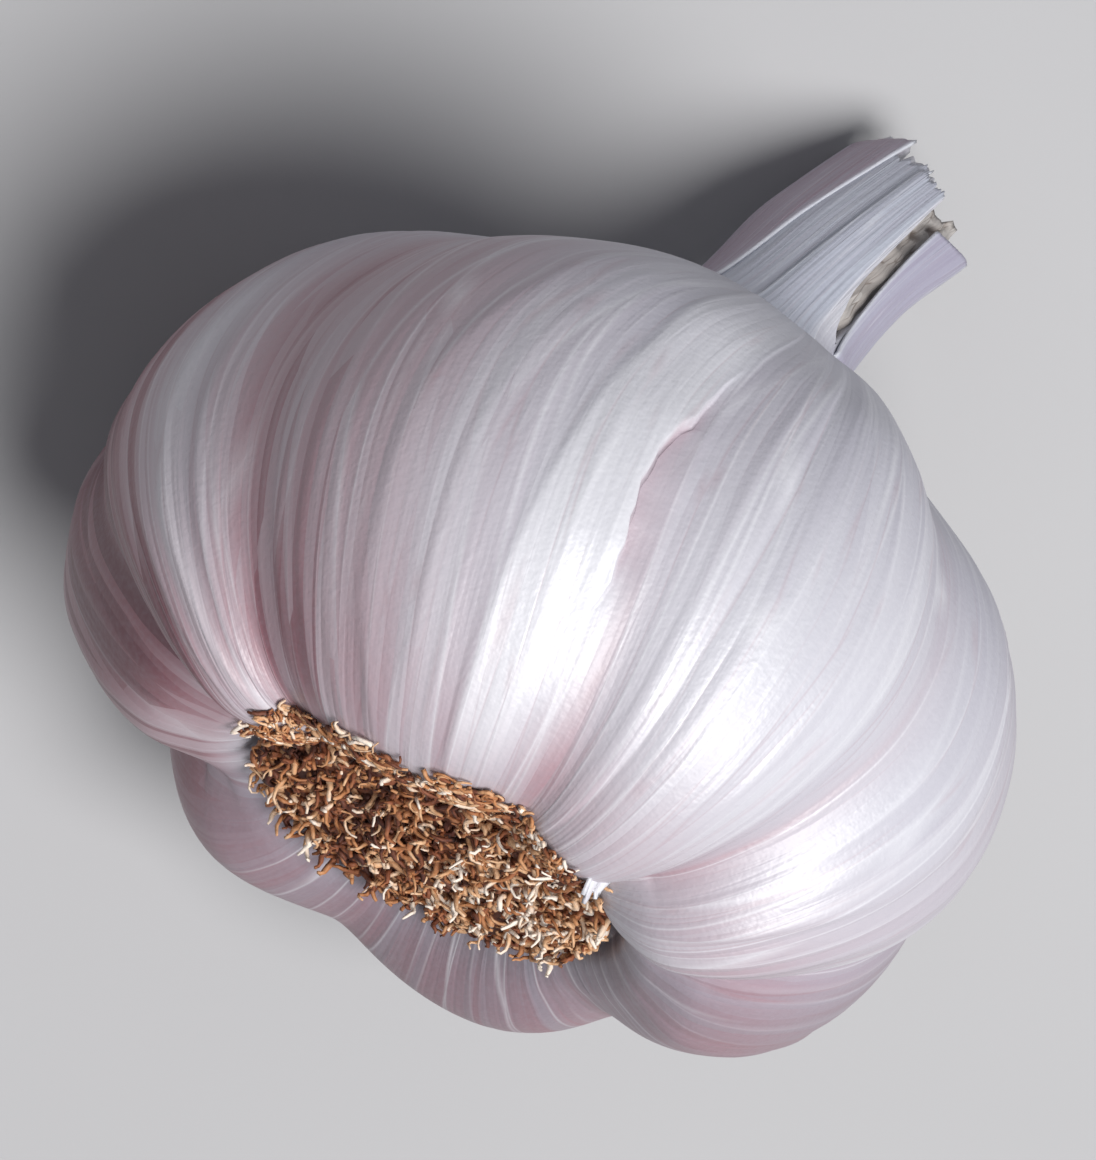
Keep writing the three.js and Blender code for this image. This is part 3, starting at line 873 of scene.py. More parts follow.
    def neck_ridges(self, angle: np.ndarray, t: np.ndarray) -> tuple[np.ndarray, np.ndarray]:
        """Heights of the neck's lengthwise ridges, and how much a point lies on one."""
        random = np.random.default_rng(3)
        height = np.zeros_like(angle)
        middle = -180.0
        while middle < 180.0:
            away = np.abs(wrapped(angle - middle - 4.0 * np.sin(4.0 * t + middle)))
            width = 1.4 + 2.4 * random.random()
            height = np.maximum(height, (0.3 + 0.7 * random.random()) * np.exp(-away / width))
            middle += 7.0 + 9.0 * random.random()
        grow = smooth(t, 0.765, 0.8)
        return self.neck_ridge * height * grow, np.clip(height, 0.0, 1.0) * grow

    def torn_edge(self, angle: np.ndarray) -> np.ndarray:
        """Returns the neck's edge height with its small ragged teeth."""
        teeth = 0.13 * np.sin(np.radians(angle) * 23.0) + 0.1 * np.sin(np.radians(angle) * 41.0 + 1.0)
        nicks = 0.4 * np.maximum(0.0, np.sin(np.radians(angle) * 9.0 + 0.6)) ** 6
        behind_flap = 2.2 * np.exp(-((wrapped(angle - 112.0) / 24.0) ** 2))
        return self.neck.edge_height(angle) - 0.2 + teeth - nicks - behind_flap

    def outside(
        self, clove: np.ndarray, even: np.ndarray, torn: np.ndarray, t: np.ndarray
    ) -> tuple[np.ndarray, dict[str, np.ndarray]]:
        """Points of the outer surface with the values that its finish reads.

        Args:
            clove: Number of the clove.
            even: Even place across it.
            torn: Mark of the columns at the torn edge.
            t: Place along the crest line.

        Returns:
            The points and the marks.
        """
        form = self.form
        s = self.column_place(clove, even, torn, t)
        left, right = form.furrow_angle(clove, t), form.furrow_angle(clove + 1, t)
        angle = left + (right - left) * (s + 1.0) / 2.0
        distance, height, out_far, out_up = form.crest(t)
        rib, crest = self.ribs(clove, s, t)
        ridge, ridge_crest = self.neck_ridges(angle, t)
        over = form.skin_height(clove, s, t) + self.tear_rise(clove, torn, s, t) + rib + ridge
        for crease in self.creases:
            over = over + crease.rise(clove, s, t)
        up = height + out_up * over
        points = form.place(angle, distance + out_far * over + self.neck.bend(angle, up), up)
        at_belly = np.full_like(t, form.belly)
        belly_left, belly_right = form.furrow_angle(clove, at_belly), form.furrow_angle(clove + 1, at_belly)
        turn = np.radians(belly_left + (belly_right - belly_left) * (s + 1.0) / 2.0)
        streak = np.stack([STREAK_RADIUS * np.cos(turn), STREAK_RADIUS * np.sin(turn), 0.06 * form.length * t], axis=-1)
        tear = self.tear_place(t)
        share = self.tear_share(t)
        beneath = (clove == self.tear_clove) * smooth(s, tear, tear + 0.01) * share
        past = (clove == self.tear_clove + 1) * np.exp(-(1.0 + s) / 0.12) * share
        bare = np.clip(beneath + past, 0.0, 1.0)
        # Painted shadow: a thin dark line just past the torn edge, under the lifted outer skin.
        tear_shadow_line = (clove == self.tear_clove) * np.exp(-(((s - tear - 0.012) / 0.012) ** 2)) * share
        # Painted highlight: the crests of the ribs and of the neck's ridges are drawn paler.
        on_rib = crest * (1.0 - smooth(t, 0.62, 0.72)) + 0.6 * ridge_crest
        # Painted shade: the skin is drawn greyer towards the shoulder, where it turns away from the lamp.
        shoulder_shade = smooth(t, 0.32, 0.56) * (1.0 - smooth(t, 0.76, 0.8))
        marks = {
            "streak": streak,
            "pink": self.blush(clove, s, t),
            # rib is painted highlight: paler crest colour on rib crests, neck ridges, the band beside the tear and one
            # ridge.
            "rib": np.clip(np.maximum(on_rib, self.pale(clove, s, t, tear)), 0.0, 1.0),
            # Painted shade in the furrow bottoms and under the lifted torn edge.
            "painted_depth_shade": np.clip(self.depth_shade(s, t) + 0.8 * tear_shadow_line, 0.0, 1.0),
            # The skin's own lilac under the tear, plus painted shade towards the shoulder and on the lower cloves.
            "lilac_and_shade": 0.25 * bare + 0.6 * shoulder_shade + self.shadow(clove, s),
            "pleat": 1.0 - 0.65 * smooth(t, 0.46, 0.6) * (1.0 - smooth(t, 0.77, 0.8)),
            "crinkle": bare * smooth(t, 0.3, 0.34) * (1.0 - smooth(t, 0.38, 0.44)),
        }
        return points, marks

    def pale(self, clove: np.ndarray, s: np.ndarray, t: np.ndarray, tear: np.ndarray) -> np.ndarray:
        """Returns the painted highlight: the broad flat band beside the tear and one ridge are drawn whiter.

        Args:
            clove: Number of the clove.
            s: Place across the clove.
            t: Place along the crest line.
            tear: Place of the torn edge.

        Returns:
            The share of white.
        """
        left = np.interp(t, [p[0] for p in BAND_LEFT], [p[1] for p in BAND_LEFT])
        soft = 0.12 * (1.0 - self.tear_share(t))
        band = (clove == self.tear_clove) * smooth(s, left - 0.02, left + 0.01)
        band = band * (1.0 - smooth(s, tear - soft, tear + 0.002 + soft))
        ridge = np.interp(t, [p[0] for p in self.pale_ridge], [p[1] for p in self.pale_ridge])
        ridge = (clove == 0) * np.exp(-(((s - ridge) / 0.13) ** 2)) * (1.0 - smooth(t, 0.34, 0.5))
        return 0.8 * band * smooth(t, 0.08, 0.16) * (1.0 - 0.7 * smooth(t, 0.48, 0.6)) + 0.6 * ridge

    def shadow(self, clove: np.ndarray, s: np.ndarray) -> np.ndarray:
        """Returns the painted shade of the lower cloves, drawn greyer."""
        lower = np.array(self.painted_shade_by_clove)
        here, before, after = lower[clove], lower[clove - 1], lower[(clove + 1) % len(lower)]
        return here + (before - here) * 0.5 * smooth(-s, 0.5, 1.0) + (after - here) * 0.5 * smooth(s, 0.5, 1.0)

    def blush(self, clove: np.ndarray, s: np.ndarray, t: np.ndarray) -> np.ndarray:
        """Returns how pink the skin is: most beside the furrow left of the middle and on the left side, where the
        highest values also stand for painted shade.
        """
        pink = np.zeros_like(t)
        for number, line in enumerate(self.blush_across):
            across = np.interp(s, np.linspace(-1.0, 1.0, len(line)), line)
            pink = np.where(clove == number, across, pink)
        foot = 0.12 + 0.2 * np.exp(-(((t - 0.12) / 0.05) ** 2))
        seam = 0.2 * np.exp(-(((t - 0.13) / 0.04) ** 2)) * np.exp(-(1.0 + s) / 0.5) * (clove == 2)
        fade = (1.0 - 0.8 * smooth(t, 0.42, 0.62)) * smooth(t, 0.0, 0.05)
        low = 0.55 + 0.45 * smooth(t, 0.08, 0.18)
        return np.clip((pink * low + foot * (1.0 - 0.7 * smooth(t, 0.16, 0.3)) + seam) * fade, 0.0, 1.25)

    def depth_shade(self, s: np.ndarray, t: np.ndarray) -> np.ndarray:
        """Returns the painted shade in the bottoms of the furrows near the root plate."""
        bottom = np.exp(-(1.0 - np.abs(s)) / 0.05)
        return bottom * (1.0 - smooth(t, 0.1, 0.5)) * 0.7

    def build(self, maker: Maker, finish: bpy.types.Material) -> bpy.types.Object:
        """Builds the skin as one closed surface from the root plate's seat into the neck.

        Args:
            maker: Makes and lays the piece.
            finish: The papery skin's material.

        Returns:
            The finished piece.
        """
        form = self.form
        clove, even, torn = self.columns()
        share = np.linspace(0.0, 1.0, self.body_rows)
        body = form.neck * (share - 0.09 * np.sin(2.0 * math.pi * share))
        t_body = np.repeat(body[:, None], len(clove), axis=1)
        top = np.ones(len(clove))
        left, right = form.furrow_angle(clove, top), form.furrow_angle(clove + 1, top)
        angle = left + (right - left) * (self.column_place(clove, even, torn, top) + 1.0) / 2.0
        edge = self.torn_edge(angle)
        end = form.crest_share(edge)
        steps = np.linspace(0.0, 1.0, self.neck_rows + 1)[1:, None]
        t = np.vstack([t_body, form.neck + (end[None, :] - form.neck) * steps])
        points, marks = self.outside(*[np.broadcast_to(row, t.shape) for row in (clove, even, torn)], t)
        bore, bore_marks = self.inside(angle, edge)
        first = np.broadcast_to(np.array([0.0, 0.0, form.crest_line[0][1]]), points[:1].shape)
        none = np.zeros(len(clove))
        floor = form.place(none, none, none + self.neck.floor)
        points = np.concatenate([first, points, bore, floor[None]])
        for name, values in marks.items():
            marks[name] = np.concatenate([values[:1], values, bore_marks[name], bore_marks[name][-1:]])
        points = np.concatenate([points, points[:, :1]], axis=1)
        marks = {name: np.concatenate([values, values[:, :1]], axis=1) for name, values in marks.items()}
        piece = maker.sheet("bulb_skin", points, marks, weld=True)
        maker.dress(piece, finish, "wrapped_bulb")
        return piece

    def inside(self, angle: np.ndarray, edge: np.ndarray) -> tuple[np.ndarray, dict[str, np.ndarray]]:
        """Points of the hollow inside the neck, from its torn edge down to its floor.

        Args:
            angle: Angle of each column round the neck.
            edge: Height of the torn edge at each column.

        Returns:
            The points and the values that the finish reads.
        """
        steps = np.linspace(0.0, 1.0, self.bore_rows)[:, None]
        height = edge[None, :] + (self.neck.floor - edge[None, :]) * steps
        radius = self.form.crest(self.form.crest_share(height))[0] - self.neck.wall
        turned = np.broadcast_to(angle, height.shape)
        points = self.form.place(turned, radius + self.neck.bend(turned, height), height)
        turn = np.radians(turned)
        streak = np.stack([STREAK_RADIUS * np.cos(turn), STREAK_RADIUS * np.sin(turn), 0.1 * height], axis=-1)
        # Painted shade: the hollow of the neck is drawn darker, pinker and greyer the deeper it goes.
        shade = smooth(np.broadcast_to(steps, height.shape), 0.0, 0.6)
        marks = {
            "streak": streak,
            "pink": 0.25 * shade,
            "rib": 0.0 * shade,
            "painted_depth_shade": 0.6 * shade,
            "lilac_and_shade": 0.2 * shade,
            "pleat": 1.0 + 0.0 * shade,
            "crinkle": 0.0 * shade,
        }
        return points, marks


@dataclass(frozen=True)
class StripShape:
    """One strip of leaf sheath on the neck.

    Left and right are its edges' angles at the bottom and at the top, low and high its heights, slant how
    much lower its left corner ends than its right one, lift its distance from the sheath under it, curl how
    far its top bends away, ragged how deep its top is torn, lilac and pink how much of these colours it has;
    the lilac is partly painted shade.
    """

    left: tuple[float, float]
    right: tuple[float, float]
    low: float
    high: float
    slant: float
    lift: float
    curl: float
    ragged: float
    lilac_and_shade: float
    pink: float
    seed: int


@dataclass
class NeckSheaths:
    """Thin strips of dried leaf sheath that lie in layers round the neck, with torn upper ends."""

    form: BulbForm
    neck: NeckForm
    thickness: float = 0.22
    rows: int = 48
    columns: int = 34
    shapes: tuple[StripShape, ...] = (
        StripShape((-134.0, -112.0), (-52.0, -33.0), 41.0, 61.9, 2.6, 0.42, 0.10, 0.25, 0.7, 0.36, 1),
        StripShape((-60.0, -46.0), (-6.0, -4.0), 41.0, 60.2, 0.4, 0.16, 0.05, 0.8, 0.0, 0.08, 2),
        StripShape((-14.0, -10.0), (29.0, 18.0), 41.0, 59.4, -0.9, 0.32, 0.00, 0.9, 0.0, 0.04, 3),
        StripShape((50.5, 36.0), (116.0, 84.0), 42.2, 56.4, 0.9, 0.30, 0.05, 0.1, 0.7, 0.06, 4),
        StripShape((104.0, 98.0), (170.0, 164.0), 41.6, 55.0, 1.4, 0.16, 0.00, 0.6, 0.5, 0.1, 5),
        StripShape((160.0, 166.0), (236.0, 230.0), 41.6, 57.3, -0.8, 0.30, 0.00, 0.8, 0.5, 0.1, 6),
    )

    def strip(self, maker: Maker, shape: StripShape, finish: bpy.types.Material) -> bpy.types.Object:
        """Makes one strip.

        Args:
            maker: Makes and lays the piece.
            shape: The strip's place and size.
            finish: The papery material.

        Returns:
            The finished piece.
        """
        random = np.random.default_rng(shape.seed)
        across = np.linspace(-1.0, 1.0, self.columns)[None, :]
        along = np.linspace(0.0, 1.0, self.rows)[:, None]
        tooth = np.convolve(random.random(self.columns + 4), np.ones(3) / 3.0, mode="same")[2:-2]
        nick = 0.3 * (np.arange(self.columns) % 6 == shape.seed % 6)
        ragged = shape.ragged * (1.2 * (tooth - tooth.min()) + nick)[None, :]
        high = shape.high - ragged - np.abs(shape.slant) * (0.5 - 0.5 * np.sign(shape.slant) * across)
        height = shape.low + (high - shape.low) * along
        left = shape.left[0] + (shape.left[1] - shape.left[0]) * along**0.8
        right = shape.right[0] + (shape.right[1] - shape.right[0]) * along**0.8
        waver = 0.3 * np.sin(7.0 * along + 2.0 * shape.seed) * across
        angle = (left + right) / 2.0 + across * (right - left) / 2.0 + waver
        radius = self.form.crest(self.form.crest_share(height))[0]
        grow = smooth(along, 0.0, 0.06)
        folds = 0.5 + 0.5 * np.sin(across * 4.0 + 1.3 * shape.seed + 0.6 * along)
        folds = 0.1 * folds**2 + 0.03 * np.abs(np.sin(across * 11.0 + 2.1 * shape.seed + 0.4 * along))
        lift = (shape.lift + folds) * grow - 0.2 * (1.0 - grow)
        curl = shape.curl * smooth(along, 0.6, 1.0) * (0.3 + 0.7 * across**2)
        points = self.form.place(angle, radius + lift + curl + self.neck.bend(angle, height), height)
        turn = np.radians(angle)
        streak = np.stack([STREAK_RADIUS * np.cos(turn), STREAK_RADIUS * np.sin(turn), 0.08 * height], axis=-1)
        streak = streak + np.array([0.0, 0.0, 3.0 * shape.seed])
        # Painted highlight: the strips' edges are drawn paler, with less pink and lilac.
        rim = np.exp(-(1.0 - np.abs(across)) / 0.05) + 0.0 * along
        marks = {
            "streak": streak,
            "pink": shape.pink * (1.0 - rim) + 0.0 * height,
            "rib": np.clip(0.9 * rim, 0.0, 1.0),
            "painted_depth_shade": 0.0 * height,
            "lilac_and_shade": shape.lilac_and_shade * (1.0 - rim) + 0.0 * height,
            "pleat": 0.7 + 0.0 * height,
            "crinkle": 0.0 * height,
        }
        piece = maker.sheet(f"neck_strip_{shape.seed}", points, marks, weld=False)
        maker.thicken(piece, self.thickness)
        maker.press_flat(piece)
        maker.dress(piece, finish, "")
        return piece

    def build(self, maker: Maker, finish: bpy.types.Material) -> None:
        """Makes every strip."""
        for shape in self.shapes:
            self.strip(maker, shape, finish)


@dataclass
class Stalk:
    """Dried stalk inside the neck, ridged and cracked, with a broken top."""

    form: BulbForm
    neck: NeckForm
    gap: float = 0.35
    top: float = 58.3
    columns: int = 96
    rows: int = 48
    split_angle: float = 42.0
    split_width: float = 29.0

    def build(self, maker: Maker, finish: bpy.types.Material) -> bpy.types.Object:
        """Makes the stalk.

        Args:
            maker: Makes and lays the piece.
            finish: The dried stem's material.

        Returns:
            The finished piece.
        """
        random = np.random.default_rng(21)
        angle = np.linspace(0.0, 360.0, self.columns + 1)[None, :]
        along = np.linspace(0.0, 1.0, self.rows)[:, None]
        splinter = np.repeat(random.random(self.columns // 4), 4)
        splinter = np.append(splinter, splinter[0])[None, :]
        top = self.top - 1.4 * splinter - 1.2 * np.maximum(0.0, np.sin(np.radians(angle - 30.0)))
        low = self.neck.floor + 0.4
        height = low + (top - low) * along
        bore = self.form.crest(self.form.crest_share(height))[0] - self.neck.wall - self.gap
        folds = 0.22 * np.sin(np.radians(angle) * 7.0 + 0.8 * along) + 0.14 * np.sin(np.radians(angle) * 17.0 + 2.0)
        cracks = -0.55 * np.maximum(0.0, np.sin(np.radians(angle) * 6.0 + 0.4 + 0.5 * along)) ** 8
        lumps = 0.18 * np.sin(height * 2.1 + angle * 0.07) * np.sin(height * 0.9 + angle * 0.031)
        # Dents in the upper stalk, which also get painted shade.
        dent = np.maximum(0.0, np.sin(angle * 0.21 + height * 1.4) * np.sin(height * 2.6 - angle * 0.06))
        dent = dent**1.5 * smooth(height, 51.5, 54.5)
        in_split = np.exp(-((wrapped(angle - self.split_angle) / self.split_width) ** 4)) * smooth(height, 43.0, 46.0)
        radius = bore - 0.36 + folds + cracks + lumps + (1.15 - 0.35 * smooth(height, 54.0, 58.0)) * in_split
        radius = radius - 0.5 * dent
        points = self.form.place(angle + 0.0 * along, radius, height)
        none = 0.0 * angle
        caps = [
            self.form.place(angle, none, none + low),
            self.form.place(angle, 0.6 * radius[-1:], height[-1:] - 0.8),
            self.form.place(angle, none, none + self.top - 2.2),
        ]
        points = np.concatenate([caps[0], points, caps[1], caps[2]])
        turn = np.radians(angle + 0.0 * points[..., 0])
        streak = np.stack([9.0 * np.cos(turn), 9.0 * np.sin(turn), 0.3 * points[..., 2]], axis=-1)
        # Painted shade: the stalk is drawn darker in its cracks and dents, lower down in the neck, and in the hollow of
        # its broken top.
        painted_depth_shade = np.concatenate([none, -1.5 * cracks + 0.2 * (1.0 - along) + 1.2 * dent, none + 0.5, none + 0.8])
        piece = maker.sheet("stalk_core", points, {"streak": streak, "painted_depth_shade": painted_depth_shade}, weld=True)
        maker.dress(piece, finish, "stalk")
        return piece


@dataclass
class RootMat:
    """Root plate under a mat of short curly dried roots."""

    form: BulbForm
    radius: float = 11.9
    face: float = 2.2
    count: int = 1500
    spilled: int = 820
    segments: int = 7
    sides: int = 4
    lowest: float = 0.45
    tone_shares: tuple[float, ...] = (0.12, 0.2, 0.3, 0.22, 0.16)
    plate_rim: tuple[tuple[float, float], ...] = (
        (0.0, 3.1), (11.4, 3.1), (11.9, 2.95), (11.9, 2.7), (11.4, 2.4), (10.4, 2.2),
    )
    spill_span: tuple[float, float] = (-0.4, 3.8)
    spill_clove: tuple[float, ...] = (-0.5, -0.2, 0.0, 0.4, 0.8, 1.05, 1.3, 1.7, 1.9, 2.15, 2.4, 2.65, 3.05, 3.3, 3.5)
    spill_reach: tuple[float, ...] = (
        0.0, 0.034, 0.036, 0.05, 0.084, 0.078, 0.1, 0.105, 0.096, 0.084, 0.098, 0.08, 0.045, 0.036, 0.0,
    )

    def plate(self, maker: Maker, finish: bpy.types.Material) -> bpy.types.Object:
        """Makes the plate with a knobbly face.

        Args:
            maker: Makes and lays the piece.
            finish: The dried roots' material.

        Returns:
            The finished piece.
        """
        inner = np.column_stack([np.linspace(9.6, 0.0, 14), np.full(14, self.face)])
        line = np.vstack([np.array(self.plate_rim), inner])
        angle = np.linspace(0.0, 2.0 * math.pi, 97)[None, :]
        far, height = line[:, 0][:, None], line[:, 1][:, None]
        knobs = 0.28 * np.sin(far * 2.3 + 3.0 * np.sin(angle * 5.0)) * np.sin(angle * 9.0 + far)
        on_face = (height < 2.35) & (far < 10.6) & (far > 0.0)
        height = height + knobs * on_face
        points = np.stack([far * np.cos(angle), far * np.sin(angle), height + 0.0 * angle], axis=-1)
        tone = 0.12 + 0.1 * np.sin(angle * 7.0 + far * 1.7)
        piece = maker.sheet("root_plate_disc", points[::-1], {"tone": tone[::-1]}, weld=True)
        maker.dress(piece, finish, "root_plate")
        return piece

    def roots(self, maker: Maker, finish: bpy.types.Material) -> bpy.types.Object:
        """Makes the roots: thin tapering strands that curl over one another.

        Args:
            maker: Makes and lays the piece.
            finish: The dried roots' material.

        Returns:
            The finished piece.
        """
        random = np.random.default_rng(42)
        tones = np.array([tone.value for tone in RootTone])
        strands, values = [], []
        for number in range(self.count):
            far = (self.radius + 0.3) * math.sqrt((number + 0.5) / self.count)
            turn = number * math.pi * (3.0 - math.sqrt(5.0)) + 0.3 * random.random()
            at = np.array([far * math.cos(turn), far * math.sin(turn), self.face + 0.2])
            outer = far > self.radius - 1.6
            heading = turn + 0.9 * random.standard_normal() if outer else random.random() * 2.0 * math.pi
            dip = -1.1 + 0.5 * random.random()
            length = 1.1 + 1.7 * random.random()
            twist = 1.0 * random.standard_normal()
            line = [at]
            for step in range(self.segments):
                heading += twist + 0.4 * random.standard_normal()
                dip = 0.74 * dip + 0.3 * random.standard_normal()
                flat = math.cos(dip)
                way = np.array([math.cos(heading) * flat, math.sin(heading) * flat, math.sin(dip)])
                at = self.held(at + way * length / self.segments)
                line.append(at)
            strands.append(self.tube(np.array(line), 0.13 + 0.15 * random.random()))
            # Painted shade: a root is drawn darker where it lies down in the mat near the plate face, and lighter
            # towards its outer end.
            depth = np.clip((self.face - np.array(line)[:, 2]) / 1.6, 0.0, 1.0)
            tone = random.choice(tones, p=self.tone_shares) + 0.3 * smooth(at[1], -4.0, 8.0)
            values.append(np.repeat((tone + 0.4 * depth - 0.3)[:, None], self.sides, axis=1))
        for _ in range(self.spilled):
            strand, tone = self.spill(random)
            strands.append(strand)
            values.append(tone)
        return self.join(maker, "dried_root_mat", strands, values, finish)

    def spill(self, random: np.random.Generator) -> tuple[np.ndarray, np.ndarray]:
        """Makes one short root that lies on the skin beside the plate, on the near side.

        Args:
            random: Source of chance.

        Returns:
            The root's rings of points, and the tone of each of them.
        """
        first, width = self.spill_span
        across = first + width * random.random()
        reach = float(self.reach(across))
        while random.random() > reach / max(self.spill_reach):
            across = first + width * random.random()
            reach = float(self.reach(across))
        clove = math.floor(across) % len(self.form.furrows)
        s = 2.0 * (across - math.floor(across)) - 1.0
        share = 0.012 + (0.96 * reach - 0.012) * math.sqrt(random.random())
        length = 0.8 + 1.2 * random.random()
        heading = 2.0 * math.pi * random.random()
        twist = 1.0 * random.standard_normal()
        lift = 0.15 + 0.5 * random.random() * (1.0 - share / (reach + 0.02))
        places = []
        for step in range(self.segments + 1):
            places.append((s, share, lift + 0.25 * math.sin(math.pi * step / self.segments)))
            heading += twist + 0.4 * random.standard_normal()
            s += length / self.segments * math.cos(heading) / 6.5
            share += length / self.segments * math.sin(heading) / self.form.length
            share = min(max(0.008, share), reach + 0.004)
        across, along, over = (np.array(column) for column in zip(*places))
        number = np.full(len(across), clove)
        left, right = self.form.furrow_angle(number, along), self.form.furrow_angle(number + 1, along)
        distance, height, out_far, out_up = self.form.crest(along)
        over = over + self.form.skin_height(number, np.clip(across, -1.0, 1.0), along)
        angle = left + (right - left) * (across + 1.0) / 2.0
        line = self.form.place(angle, distance + out_far * over, height + out_up * over)
        tone = np.clip(0.58 + 0.28 * random.standard_normal(), 0.1, 1.0)
        strand = self.tube(line, 0.08 + 0.11 * random.random())
        return strand, np.full((self.segments + 1, self.sides), tone)

    def held(self, at: np.ndarray) -> np.ndarray:
        """Keeps a point of a root inside the mat's outline, over its lowest level and off the skin.

        Args:
            at: The point.

        Returns:
            The point where it may be.
        """
        far = math.hypot(at[0], at[1])
        turn = math.degrees(math.atan2(at[1], at[0]))
        most = self.radius + 0.5 - 0.9 * math.exp(-(((turn - 108.0) / 34.0) ** 2))
        if far > most:
            at = at * np.array([most / far, most / far, 1.0])
        hang = 0.7 * math.exp(-((wrapped(np.array(turn - 205.0)) / 34.0) ** 2)) * min(1.0, far / 12.0)
        near = 1.1 * math.exp(-((wrapped(np.array(turn + 10.0)) / 62.0) ** 2)) * smooth(far, 6.0, 11.5)
        at[2] = max(at[2], self.lowest - hang - near)
        return at

    def reach(self, across: float) -> float:
        """Returns how far along the crest line the spilled roots cover the skin.

        Args:
            across: Number of the clove and the share of the way over it.

        Returns:
            The place along the crest line, 0 past the near side's right end.
        """
        return np.interp(across, self.spill_clove, self.spill_reach, right=0.0)

    def tube(self, line: np.ndarray, thick: float) -> np.ndarray:
        """Rings of points round a curling line.

        Args:
            line: Points of the line.
            thick: Radius at its start.

        Returns:
            The rings with the shape (points, sides, 3).
        """
        way = np.gradient(line, axis=0)
        way /= np.linalg.norm(way, axis=1)[:, None] + 1e-9
        side = np.cross(way, np.array([0.31, 0.52, 0.79]))
        side /= np.linalg.norm(side, axis=1)[:, None] + 1e-9
        other = np.cross(way, side)
        turn = 2.0 * math.pi * np.arange(self.sides) / self.sides
        share = np.linspace(0.0, 1.0, len(line))
        radius = (thick * (1.0 - 0.6 * share**1.5))[:, None, None]
        ring = side[:, None, :] * np.cos(turn)[None, :, None] + other[:, None, :] * np.sin(turn)[None, :, None]
        return line[:, None, :] + ring * radius

    def join(
        self, maker: Maker, name: str, strands: list[np.ndarray], values: list[np.ndarray], finish: bpy.types.Material
    ) -> bpy.types.Object:
        """Joins strands in one mesh.

        Args:
            maker: Lays the piece.
            name: Name of the piece.
            strands: Rings of points of each strand.
            values: Tone of each of those points.
            finish: The dried roots' material.

        Returns:
            The finished piece.
        """
        rings, sides = strands[0].shape[:2]
        points = np.concatenate([strand.reshape(-1, 3) for strand in strands])
        tones = np.concatenate([value.ravel() for value in values])
        ring, side = np.meshgrid(np.arange(rings - 1), np.arange(sides), indexing="ij")
        near = ring * sides + side
        next_side = ring * sides + (side + 1) % sides
        quad = np.stack([near, next_side, next_side + sides, near + sides], axis=-1).reshape(-1, 4)
        caps = np.array([np.arange(sides)[::-1], np.arange(sides) + (rings - 1) * sides])
        faces = np.concatenate([quad, caps])
        starts = np.arange(len(strands))[:, None, None] * rings * sides
        every = (faces[None] + starts).reshape(-1, sides)
        mesh = bpy.data.meshes.new(name)
        mesh.from_pydata(maker.placement.lay(points).tolist(), [], every.tolist())
        mesh.attributes.new("tone", "FLOAT", "POINT").data.foreach_set("value", tones)
        mesh.polygons.foreach_set("use_smooth", np.ones(len(mesh.polygons), dtype=bool))
        piece = bpy.data.objects.new(name, mesh)
        bpy.context.scene.collection.objects.link(piece)
        maker.dress(piece, finish, "")
        return piece

    def build(self, maker: Maker, finish: bpy.types.Material) -> None:
        """Makes the plate and its roots."""
        self.plate(maker, finish)
        self.roots(maker, finish)


@dataclass
class SkinScale:
    """Loose white scale of papery skin that stands at the right end of the root plate."""

    angle: float = 30.0
    distance: float = 18.7
    top: float = 2.7
    width: float = 2.5
    length: float = 3.6
    thickness: float = 0.25

    def build(self, maker: Maker, finish: bpy.types.Material) -> bpy.types.Object:
        """Makes the scale as a small cupped and creased leaf.

        Args:
            maker: Makes and lays the piece.
            finish: The papery skin's material.

        Returns:
            The finished piece.
        """
        across = np.linspace(-1.0, 1.0, 15)[None, :]
        along = np.linspace(0.0, 1.0, 17)[:, None]
        ragged = 0.12 * np.sin(across * 9.0) + 0.25 * across**2 + 0.15 * across
        height = self.top - self.length * along * (1.0 - ragged * along)
        wide = self.width / 2.0 * (1.0 - 0.35 * along**2)
        cup = 0.5 * across**2 - 0.4 * along + 0.12 * np.abs(np.sin(across * 5.0))
        far = self.distance + cup
        turn = math.radians(self.angle)
        side = across * wide
        x = far * math.cos(turn) - side * math.sin(turn)
        y = far * math.sin(turn) + side * math.cos(turn)
        points = np.stack([x, y, height + 0.0 * across], axis=-1)
        streak = np.stack([3.0 * side, 0.3 * height + 0.0 * across, 0.0 * side + 9.0], axis=-1)
        none = 0.0 * side
        marks = {"streak": streak, "pink": none, "rib": none + 0.8, "painted_depth_shade": none}
        marks.update({"lilac_and_shade": none, "pleat": none + 1.0, "crinkle": none})
        piece = maker.sheet("skin_scale", points, marks, weld=False)
        maker.thicken(piece, self.thickness)
        maker.dress(piece, finish, "")
        return piece


